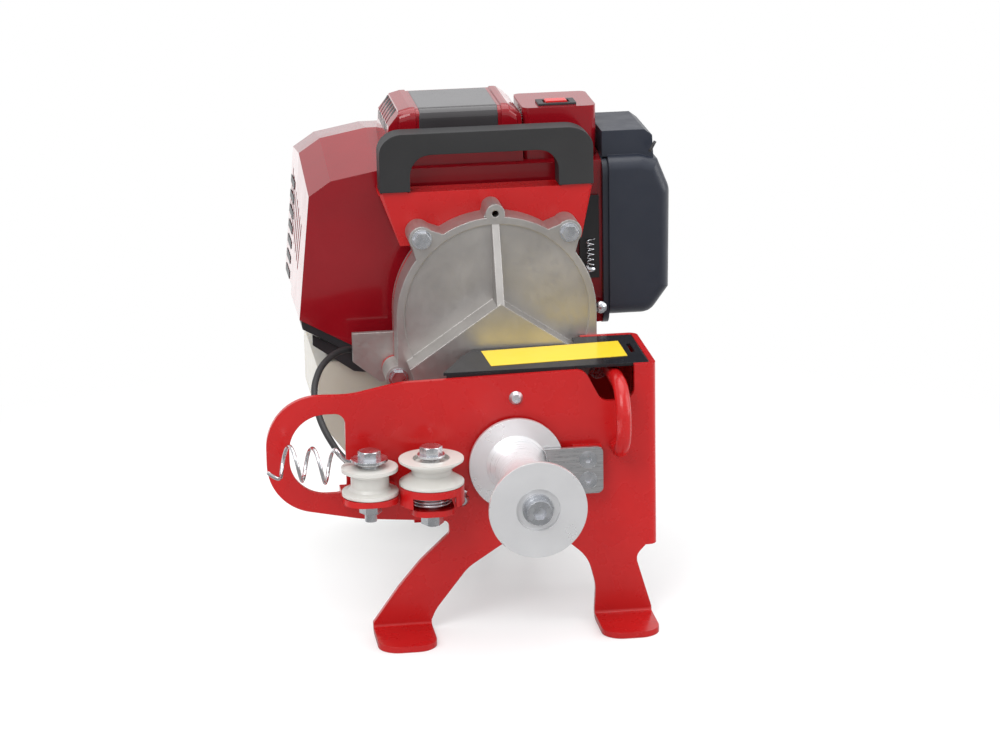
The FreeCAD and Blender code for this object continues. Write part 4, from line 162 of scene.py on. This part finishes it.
def metal(name, low, high, rough, scale=160, stretch=(1, 1, 1), height=0.02, edge=0.25, spread=0.14):
    """Bare or plated metal; stretch draws the tool or brush marks out along an axis."""
    f = Finish(name, Metallic=1.0)
    marks = f.noise(scale, 6, stretch)
    f.colour(marks, low, high).roughness(marks, rough, rough + spread)
    return f.edge(edge).bump(marks, height, 0.5)


def cast(name, low, high, rough, metallic):
    """Shot blasted casting: fine pitted grain and a slight cloudiness."""
    f = Finish(name, Metallic=metallic)
    f.colour(f.noise(38, 5), low, high).roughness(f.noise(300, 3), rough, rough + 0.12)
    f.edge(0.9).bump(f.cells(2200), 0.05, 0.35)
    return f.bump(f.noise(700, 4), 0.06, 0.4)


FINISHES = {
    "frame_red": powder_coat("frame_red", (0.38, 0.005, 0.006), (0.45, 0.008, 0.008), 0.24, 0.2),
    "engine_red": powder_coat("engine_red", (0.19, 0.003, 0.007), (0.24, 0.005, 0.010), 0.12, 0.5),
    "cover_black": powder_coat("cover_black", (0.008, 0.008, 0.010), (0.014, 0.014, 0.016), 0.20, 0.1),
    "satin_black": powder_coat("satin_black", (0.014, 0.014, 0.016), (0.026, 0.026, 0.028), 0.36, 0.0),
    "cleaner_black": moulded("cleaner_black", (0.011, 0.014, 0.024), (0.016, 0.020, 0.032), 0.34),
    "black_plastic": moulded("black_plastic", (0.014, 0.014, 0.016), (0.024, 0.024, 0.027), 0.38),
    "rubber": moulded("rubber", (0.011, 0.011, 0.012), (0.020, 0.020, 0.021), 0.48, grain=0.08, scale=900),
    "nylon": moulded("nylon", (0.50, 0.49, 0.46), (0.60, 0.59, 0.56), 0.32, coat=0.2, grain=0.03, scale=500),
    "foam": moulded("foam", (0.05, 0.05, 0.05), (0.12, 0.12, 0.12), 0.9, grain=0.9, scale=420),
    "tank": moulded("tank", (0.42, 0.39, 0.33), (0.50, 0.47, 0.40), 0.30, coat=0.2, grain=0.05, scale=300),
    "casting": cast("casting", (0.40, 0.385, 0.37), (0.48, 0.465, 0.45), 0.36, 0.85),
    "dark_casting": cast("dark_casting", (0.22, 0.22, 0.22), (0.32, 0.32, 0.32), 0.40, 0.8),
    "zinc": metal("zinc", (0.58, 0.60, 0.63), (0.74, 0.75, 0.78), 0.20),
    "chrome": metal("chrome", (0.62, 0.62, 0.64), (0.72, 0.72, 0.74), 0.08, height=0.002, spread=0.05),
    "steel": metal("steel", (0.36, 0.36, 0.37), (0.50, 0.50, 0.52), 0.26),
    "plate": metal("plate", (0.56, 0.56, 0.57), (0.70, 0.70, 0.71), 0.24, scale=90, stretch=(1, 1, 16)),
    "drum": metal("drum", (0.80, 0.80, 0.81), (0.86, 0.86, 0.87), 0.26, scale=40, stretch=(1, 30, 1),
                  height=0.002, edge=0.4, spread=0.06),
    "heat_steel": metal("heat_steel", (0.16, 0.14, 0.12), (0.30, 0.27, 0.24), 0.38),
    "switch_red": powder_coat("switch_red", (0.50, 0.010, 0.010), (0.60, 0.014, 0.014), 0.25, 0.3),
    "panel": powder_coat("panel", (0.030, 0.028, 0.030), (0.045, 0.042, 0.044), 0.14, 0.6),
    "yellow_film": moulded("yellow_film", (0.80, 0.56, 0.02), (0.86, 0.62, 0.03), 0.30, coat=0.3, grain=0.01),
}
FINISHES["drum"].shader.inputs["Metallic"].default_value = 0.7
# Light goes a little way into pale plastic: weight, and reach in metres
for name, weight, reach in (("nylon", 0.25, (0.004, 0.004, 0.0036)), ("tank", 0.35, (0.006, 0.005, 0.003))):
    FINISHES[name].shader.inputs["Subsurface Weight"].default_value = weight
    FINISHES[name].shader.inputs["Subsurface Radius"].default_value = reach

# The CAD nodes that wear each finish
WEARS = {
    "frame_red": ["frame_plate", "rope_hook_bar", "tension_arm", "handle_bracket"],
    "engine_red": ["shroud", "top_cover", "switch_housing"],
    "cover_black": ["top_cover_plate"],
    "satin_black": ["tank_guard", "rear_stand", "shroud_trim"],
    "cleaner_black": ["air_cleaner_cover", "air_cleaner_base"],
    "black_plastic": ["recoil_housing", "recoil_handle", "stop_switch_base", "fuel_cap", "choke_lever"],
    "rubber": ["shaft_seal", "handle_grip", "stand_feet", "throttle_cable", "primer_bulb"],
    "nylon": ["idler_roller", "tension_roller", "recoil_spool"],
    "foam": ["air_filter"],
    "tank": ["fuel_tank"],
    "casting": ["gearbox_cover", "gearbox_body", "carburettor"],
    "dark_casting": ["engine_block", "flywheel_fan"],
    "zinc": ["stripper_screws", "plate_screws", "gearbox_screws", "frame_screws", "drum_bolt",
             "roller_bolts", "roller_washers", "roller_bushes", "lock_nuts", "torsion_spring",
             "throttle_lever", "spark_plug"],
    "chrome": ["pigtail_guide"],
    "steel": ["output_shaft", "output_gear", "intermediate_shaft", "first_gear", "input_shaft",
              "clutch_drum", "crankshaft", "clutch_shoes", "starter_cup", "shaft_bearings"],
    "plate": ["stripper_plate"],
    "drum": ["capstan_drum"],
    "heat_steel": ["muffler"],
    "switch_red": ["stop_switch_rocker"],
}

for finish, names in WEARS.items():
    for name in names:
        obj = frame["nodes"][name]
        if not obj.material_slots:
            obj.data.materials.append(FINISHES[finish].material)
        for slot in obj.material_slots:
            slot.material = FINISHES[finish].material

# Small pieces


def mesh_piece(name, bm, finish, body, smooth=True):
    """Turn a bmesh into a piece that rides on a body."""
    mesh = bpy.data.meshes.new(name)
    bm.to_mesh(mesh)
    bm.free()
    for face in mesh.polygons:
        face.use_smooth = smooth
    obj = bpy.data.objects.new(name, mesh)
    bpy.context.scene.collection.objects.link(obj)
    obj.data.materials.append(FINISHES[finish].material)
    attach(obj, body)
    return obj


def add_plate(bm, near, far):
    """Closed plate between two outlines of as many corners, given in the winch's frame."""
    near = [bm.verts.new(at(*corner)) for corner in near]
    far = [bm.verts.new(at(*corner)) for corner in far]
    bm.faces.new(near)
    bm.faces.new(list(reversed(far)))
    for i in range(len(near)):
        k = (i + 1) % len(near)
        bm.faces.new((far[i], far[k], near[k], near[i]))


PLATE_TOP = 176.0  # upper face of the black plate on the front frame
FILM = 0.25
LABEL = [(-14.9, 51.1), (79.1, 58.3), (79.2, 21.2), (-13.2, 14.3)]


def yellow_strip():
    """Plain yellow label on the black plate."""
    bm = bmesh.new()
    add_plate(bm, [(x, y, PLATE_TOP + FILM) for x, y in LABEL], [(x, y, PLATE_TOP) for x, y in LABEL])
    bmesh.ops.recalc_face_normals(bm, faces=bm.faces)
    mesh_piece("yellow_strip", bm, "yellow_film", "frame", smooth=False)


yellow_strip()

# Reshaped pieces: soft and moulded forms drawn closer to the real ones than their solids


def through(value, stops):
    """Carry a size through pairs of (before, after), in a straight line between them."""
    if value <= stops[0][0]:
        return value + stops[0][1] - stops[0][0]
    for (a, low), (b, high) in zip(stops, stops[1:]):
        if value <= b:
            return low + (high - low) * (value - a) / (b - a)
    return value + stops[-1][1] - stops[-1][0]


# How the solids' sizes become the real ones, in pairs of (before, after)
HANDLE_LOW = 275.5  # the grip starts at this level on its sheet
GRIP_X = [(-78, -75), (-51, -54.5), (46, 46.7), (73, 70.3)]
GRIP_Y = [(105, 105), (122.5, 117)]
GRIP_Z = [(299.5, 299.5), (323.5, 315.5)]
HOOD_Z = [(302, 302), (332, 325.5)]
CLEANER_X = [(112, 112), (129, 127)]
CLEANER_Z = [(292, 291), (313, 306)]


def reshaped(node, name, finish, rule):
    """A new mesh after a node's own, with each corner moved by rule(x, y, z) in the winch's frame."""
    bm = bmesh.new()
    bm.from_mesh(frame["nodes"][node].data)
    for vert in bm.verts:
        x, y, z = (vert.co - ORIGIN) / MM
        vert.co = at(*rule(x, y, z))
    piece = mesh_piece(name, bm, finish, "frame", smooth=False)
    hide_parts(node)


def slim_handle(x, y, z):
    """A slimmer, lower bar; the sheet keeps its depth and thickness below the grip."""
    if z < HANDLE_LOW - 1:
        return x, y, z
    if z < HANDLE_LOW:
        return through(x, GRIP_X), y, z
    return through(x, GRIP_X), through(y, GRIP_Y), through(z, GRIP_Z)


def low_hood(x, y, z):
    return x, y, through(z, HOOD_Z)


def trim_cleaner(x, y, z):
    return through(x, CLEANER_X), y, through(z, CLEANER_Z)


reshaped("handle_grip", "grip_sleeve", "rubber", slim_handle)
reshaped("handle_bracket", "handle_sheet", "frame_red", slim_handle)
reshaped("top_cover", "hood", "engine_red", low_hood)
reshaped("air_cleaner_cover", "cleaner_shell", "cleaner_black", trim_cleaner)

# Trim on the hood

HOOD_TOP = HOOD_Z[-1][1]
HOOD_PROFILE = [(-65, 313.5), (-58, 323.4), (-50, HOOD_TOP), (17, HOOD_TOP), (26, 319)]  # (x, level)
HOOD_FRONT, HOOD_BACK = 130, 196
HOOD_CORNER = 6  # radius between its front face and its top
CORNER_STEPS = 8
BAND_SPANS = 6
BAND_EDGE = 0.5  # width of the slope down to the hood at a band's sides
BAND_TUCK = 0.1  # how far a band's sides stay proud
BAND_THICK = 0.6


def hood_band(name, left, right, rise, foot, back, finish):
    """Sheet that follows the hood from its front face over its top, rise millimetres proud of it."""
    inside = [left + (right - left) * i / BAND_SPANS for i in range(1, BAND_SPANS)]
    columns = [left, left + BAND_EDGE, *inside, right - BAND_EDGE, right]
    middle = HOOD_FRONT + HOOD_CORNER
    bm = bmesh.new()
    sheets = []
    for under in (0.0, BAND_THICK):
        rows = []
        for x in columns:
            lift = (BAND_TUCK if x in (left, right) else rise) - under
            top = through(x, HOOD_PROFILE)
            radius = HOOD_CORNER + lift
            path = [(HOOD_FRONT - lift, foot), (HOOD_FRONT - lift, top - HOOD_CORNER)]
            for k in range(1, CORNER_STEPS):
                turn = math.pi / 2 * k / CORNER_STEPS
                path.append((middle - radius * math.cos(turn), top - HOOD_CORNER + radius * math.sin(turn)))
            path += [(middle, top + lift), (back, top + lift)]
            rows.append([bm.verts.new(at(x, y, z)) for y, z in path])
        sheets.append(rows)
    outer, inner = sheets
    last, end = len(outer) - 1, len(outer[0]) - 1
    for i in range(last):
        for k in range(end):
            bm.faces.new((outer[i][k], outer[i + 1][k], outer[i + 1][k + 1], outer[i][k + 1]))
            bm.faces.new((inner[i][k + 1], inner[i + 1][k + 1], inner[i + 1][k], inner[i][k]))
        bm.faces.new((inner[i][0], inner[i + 1][0], outer[i + 1][0], outer[i][0]))
        bm.faces.new((outer[i][end], outer[i + 1][end], inner[i + 1][end], inner[i][end]))
    for k in range(end):
        bm.faces.new((outer[0][k], outer[0][k + 1], inner[0][k + 1], inner[0][k]))
        bm.faces.new((inner[last][k], inner[last][k + 1], outer[last][k + 1], outer[last][k]))
    mesh_piece(name, bm, finish, "frame", smooth=False)


for name, left, right in (("hood_rib_left", -58, -46), ("hood_rib_right", 12, 23)):
    hood_band(name, left, right, 1.1, 296, HOOD_BACK - 1, "engine_red")
hood_band("hood_panel", -44, 10, 0.5, 306, HOOD_BACK - 3, "panel")

# Painted shade in the mouths of slots: dark plates stand in for the shade inside them

SHADE_PLATE_DEPTH = 0.3
SHADE_PLATE_RISE = 0.35  # how far the flank's mouths stand proud of it


def painted_slot_shade(name, quads):
    """Dark plates painted as the shade in the mouths of a row of slots, each a thin plate over four corners.
    """
    bm = bmesh.new()
    for corners in quads:
        add_plate(bm, [(x + SHADE_PLATE_DEPTH, y, z) for x, y, z in corners], corners)
    bmesh.ops.recalc_face_normals(bm, faces=bm.faces)
    # The satin black on these plates is painted shade in the slot mouths, not a part's colour.
    mesh_piece(name, bm, "satin_black", "frame", smooth=False)


def hood_slot_shade():
    """Painted shade for six slanted slots on the hood's left shoulder, each in two runs from its low end to
    its high one.
    """
    low, bend, high = (-66.0, 0, 305), (-65.25, 4, 313.5), (-58.4, 8, 323.2)  # x, y from the slot's start, z
    first, pitch, wide = HOOD_FRONT + 7.5, 9, 5.4
    quads = []
    for i in range(6):
        start = first + pitch * i
        for (x0, y0, z0), (x1, y1, z1) in ((low, bend), (bend, high)):
            y0, y1 = start + y0, start + y1
            quads.append([(x0, y0, z0), (x0, y0 + wide, z0), (x1, y1 + wide, z1), (x1, y1, z1)])
    painted_slot_shade("hood_slot_shade", quads)


hood_slot_shade()


FLANK = [(184, -130.0), (281, -121.2), (292, -106.5)]  # (level, x) of the shroud's left side at its rear


def flank_slot_shade():
    """Painted shade for seven level slots on the shroud's left side."""
    first, pitch, tall, front, back = 190.5, 10.7, 5.2, 214, 242
    quads = []
    for i in range(7):
        low = first + pitch * i
        high = low + tall
        a, b = through(low, FLANK) - SHADE_PLATE_RISE, through(high, FLANK) - SHADE_PLATE_RISE
        quads.append([(a, front, low), (a, back, low), (b, back, high), (b, front, high)])
    painted_slot_shade("flank_slot_shade", quads)


flank_slot_shade()


# Small fittings

ROD_SIDES = 12


def rod(points, radius):
    """Round wire through points given in the winch's frame, in a bmesh."""
    bm = bmesh.new()
    rings = []
    for i, point in enumerate(points):
        ahead = Vector(points[min(i + 1, len(points) - 1)]) - Vector(points[max(i - 1, 0)])
        turn = ahead.to_track_quat("Z", "Y")
        ring = []
        for k in range(ROD_SIDES):
            angle = 2 * math.pi * k / ROD_SIDES
            offset = turn @ Vector((radius * math.cos(angle), radius * math.sin(angle), 0))
            ring.append(bm.verts.new(at(*(Vector(point) + offset))))
        rings.append(ring)
    for a, b in zip(rings, rings[1:]):
        for k in range(ROD_SIDES):
            turned = (k + 1) % ROD_SIDES
            bm.faces.new((a[k], a[turned], b[turned], b[k]))
    bm.faces.new(list(reversed(rings[0])))
    bm.faces.new(rings[-1])
    return bm


def cleaner_fittings():
    """Clip on the air cleaner's cap and the silver screw head beside its lower edge."""
    clip = [(112 + i, 117.2, 292 + 1.8 * i) for i in range(5)]
    mesh_piece("cleaner_clip", rod(clip, 1.1), "black_plastic", "frame")
    screw = [(77.5, 117.0 + 0.9 * i, 184.0) for i in range(4)]
    mesh_piece("cleaner_screw", rod(screw, 4.2), "zinc", "frame")


cleaner_fittings()


def intake_bay():
    """Dark insulator block and linkage that show between the gearbox and the air cleaner."""
    outline = [(66, 204), (77.5, 204), (77.5, 262), (70, 262), (64, 250), (64, 214)]
    front, back = 122.6, 124.9
    bm = bmesh.new()
    add_plate(bm, [(x, front, z) for x, z in outline], [(x, back, z) for x, z in outline])
    bmesh.ops.recalc_face_normals(bm, faces=bm.faces)
    mesh_piece("intake_insulator", bm, "satin_black", "frame", smooth=False)
    turns, steps, wide, deep, tall = 5, 14, 2.6, 2.08, 18
    coil = []
    for i in range(turns * steps + 1):
        angle = 2 * math.pi * i / steps
        level = 232 - tall * i / (turns * steps)
        coil.append((71 + wide * math.cos(angle), 119.2 + deep * math.sin(angle), level))
    mesh_piece("linkage_spring", rod(coil, 0.45), "zinc", "frame")
    arm = [(67.5, 120.5, 212.5), (70, 120.4, 210.5), (74, 120.4, 211)]
    mesh_piece("linkage_arm", rod(arm, 2.2), "zinc", "frame")


intake_bay()


def arm_wire():
    """Inner wire of the throttle cable between the sprung arm and its stop."""
    start, end = Vector((-59, 14, 108.6)), Vector((-84, 12, 107.4))
    line = [tuple(start.lerp(end, i / 8)) for i in range(9)]
    mesh_piece("cable_inner_wire", rod(line, 0.6), "zinc", "arm")


arm_wire()

# Studio, in metres

FLOOR_GREY, FLOOR_PATCH = 0.90, 0.918
FLOOR_HALF = 6
FLOOR_DROP = 0.0002  # keeps the floor's face clear of the feet's
WHITE_FROM, WHITE_TO = 0.26, 0.60  # distances from the middle over which the floor turns plain white
WHITE_LEAST = 0.35
DIM_FRONT, DIM_BACK = (-0.1, 0.36), (0.3, 1.3)  # (y, strength) of the floor that reflections see
AMBIENT = (0.80, 0.80, 0.81, 1)
WHITE = (1, 1, 1, 1)


def whiten(material):
    """Far from the winch the floor is plain white to the camera; to reflections it is a dim studio floor."""
    nodes, links = material.node_tree.nodes, material.node_tree.links
    shader = nodes["Principled BSDF"]
    output = nodes["Material Output"]
    path = nodes.new("ShaderNodeLightPath")
    place = nodes.new("ShaderNodeTexCoord").outputs["Object"]
    reach = nodes.new("ShaderNodeVectorMath")
    reach.operation = "LENGTH"
    links.new(place, reach.inputs[0])
    span = nodes.new("ShaderNodeMapRange")
    span.interpolation_type = "SMOOTHSTEP"
    span.inputs["From Min"].default_value = WHITE_FROM
    span.inputs["From Max"].default_value = WHITE_TO
    span.inputs["To Min"].default_value = WHITE_LEAST
    links.new(reach.outputs["Value"], span.inputs["Value"])
    seen = nodes.new("ShaderNodeMath")
    seen.operation = "MULTIPLY"
    links.new(span.outputs["Result"], seen.inputs[0])
    links.new(path.outputs["Is Camera Ray"], seen.inputs[1])
    white = nodes.new("ShaderNodeEmission")
    white.inputs["Color"].default_value = WHITE
    plain = nodes.new("ShaderNodeMixShader")
    links.new(seen.outputs["Value"], plain.inputs["Fac"])
    links.new(shader.outputs["BSDF"], plain.inputs[1])
    links.new(white.outputs["Emission"], plain.inputs[2])
    split = nodes.new("ShaderNodeSeparateXYZ")
    links.new(place, split.inputs[0])
    depth = nodes.new("ShaderNodeMapRange")
    depth.inputs["From Min"].default_value, depth.inputs["To Min"].default_value = DIM_FRONT
    depth.inputs["From Max"].default_value, depth.inputs["To Max"].default_value = DIM_BACK
    links.new(split.outputs["Y"], depth.inputs["Value"])
    dim = nodes.new("ShaderNodeEmission")
    links.new(depth.outputs["Result"], dim.inputs["Strength"])
    mirrored = nodes.new("ShaderNodeMixShader")
    links.new(path.outputs["Is Glossy Ray"], mirrored.inputs["Fac"])
    links.new(plain.outputs["Shader"], mirrored.inputs[1])
    links.new(dim.outputs["Emission"], mirrored.inputs[2])
    links.new(mirrored.outputs["Shader"], output.inputs["Surface"])


def floor():
    bm = bmesh.new()
    bmesh.ops.create_grid(bm, x_segments=1, y_segments=1, size=FLOOR_HALF)
    mesh = bpy.data.meshes.new("floor")
    bm.to_mesh(mesh)
    bm.free()
    obj = bpy.data.objects.new("floor", mesh)
    obj.location = (0, 0, -FLOOR_DROP)
    bpy.context.scene.collection.objects.link(obj)
    f = Finish("floor")
    f.colour(f.noise(3, 2), (FLOOR_GREY,) * 3, (FLOOR_PATCH,) * 3).roughness(f.noise(8), 0.28, 0.38)
    whiten(f.material)
    mesh.materials.append(f.material)


def lamp(name, place, target, size, power):
    data = bpy.data.lights.new(name, "AREA")
    data.shape = "RECTANGLE"
    data.size, data.size_y = size
    data.energy = power
    obj = bpy.data.objects.new(name, data)
    bpy.context.scene.collection.objects.link(obj)
    obj.location = place
    obj.rotation_mode = "QUATERNION"
    obj.rotation_quaternion = (Vector(target) - Vector(place)).to_track_quat("-Z", "Y")


def world():
    """Pale even light; the camera and light through glass see plain white."""
    made = bpy.data.worlds.new("studio")
    bpy.context.scene.world = made
    made.use_nodes = True
    nodes, links = made.node_tree.nodes, made.node_tree.links
    background = nodes["Background"]
    seen = nodes.new("ShaderNodeLightPath")
    both = nodes.new("ShaderNodeMath")
    both.operation = "ADD"
    both.use_clamp = True
    links.new(seen.outputs["Is Camera Ray"], both.inputs[0])
    links.new(seen.outputs["Is Transmission Ray"], both.inputs[1])
    mix = nodes.new("ShaderNodeMix")
    mix.data_type = "RGBA"
    mix.inputs["A"].default_value = AMBIENT
    mix.inputs["B"].default_value = WHITE
    links.new(both.outputs[0], mix.inputs["Factor"])
    links.new(mix.outputs["Result"], background.inputs["Color"])


# The camera, as solved from points of the winch in the photograph
CAMERA_ANGLES = (7.7, 16.2, 1.0)  # yaw to the right, pitch down and roll, in degrees
CAMERA_PLACE = (-304.158, -2180.793, 813.174)
CAMERA_SENSOR, CAMERA_LENS = 36, 126


def camera():
    yaw, pitch, roll = (math.radians(angle) for angle in CAMERA_ANGLES)
    ahead = Vector((math.sin(yaw) * math.cos(pitch), math.cos(yaw) * math.cos(pitch), -math.sin(pitch)))
    level = Vector((math.cos(yaw), -math.sin(yaw), 0))
    over = level.cross(ahead)
    right = level * math.cos(roll) - over * math.sin(roll)
    up = over * math.cos(roll) + level * math.sin(roll)
    data = bpy.data.cameras.new("camera")
    data.sensor_width = CAMERA_SENSOR
    data.lens = CAMERA_LENS
    obj = bpy.data.objects.new("camera", data)
    bpy.context.scene.collection.objects.link(obj)
    turned = Matrix((right, up, -ahead)).transposed().to_4x4()
    obj.matrix_world = Matrix.Translation(at(*CAMERA_PLACE)) @ turned
    bpy.context.scene.camera = obj


bpy.context.scene.view_settings.view_transform = "Standard"
world()
floor()
camera()
lamp("key", (-0.9, -1.3, 1.6), (0, 0, 0.15), (1.2, 1.2), 26)
lamp("top", (0.1, 0.1, 1.7), (0, 0, 0.1), (1.6, 1.6), 18)
lamp("side", (1.6, -0.4, 0.7), (0, 0, 0.15), (1.0, 1.4), 12)
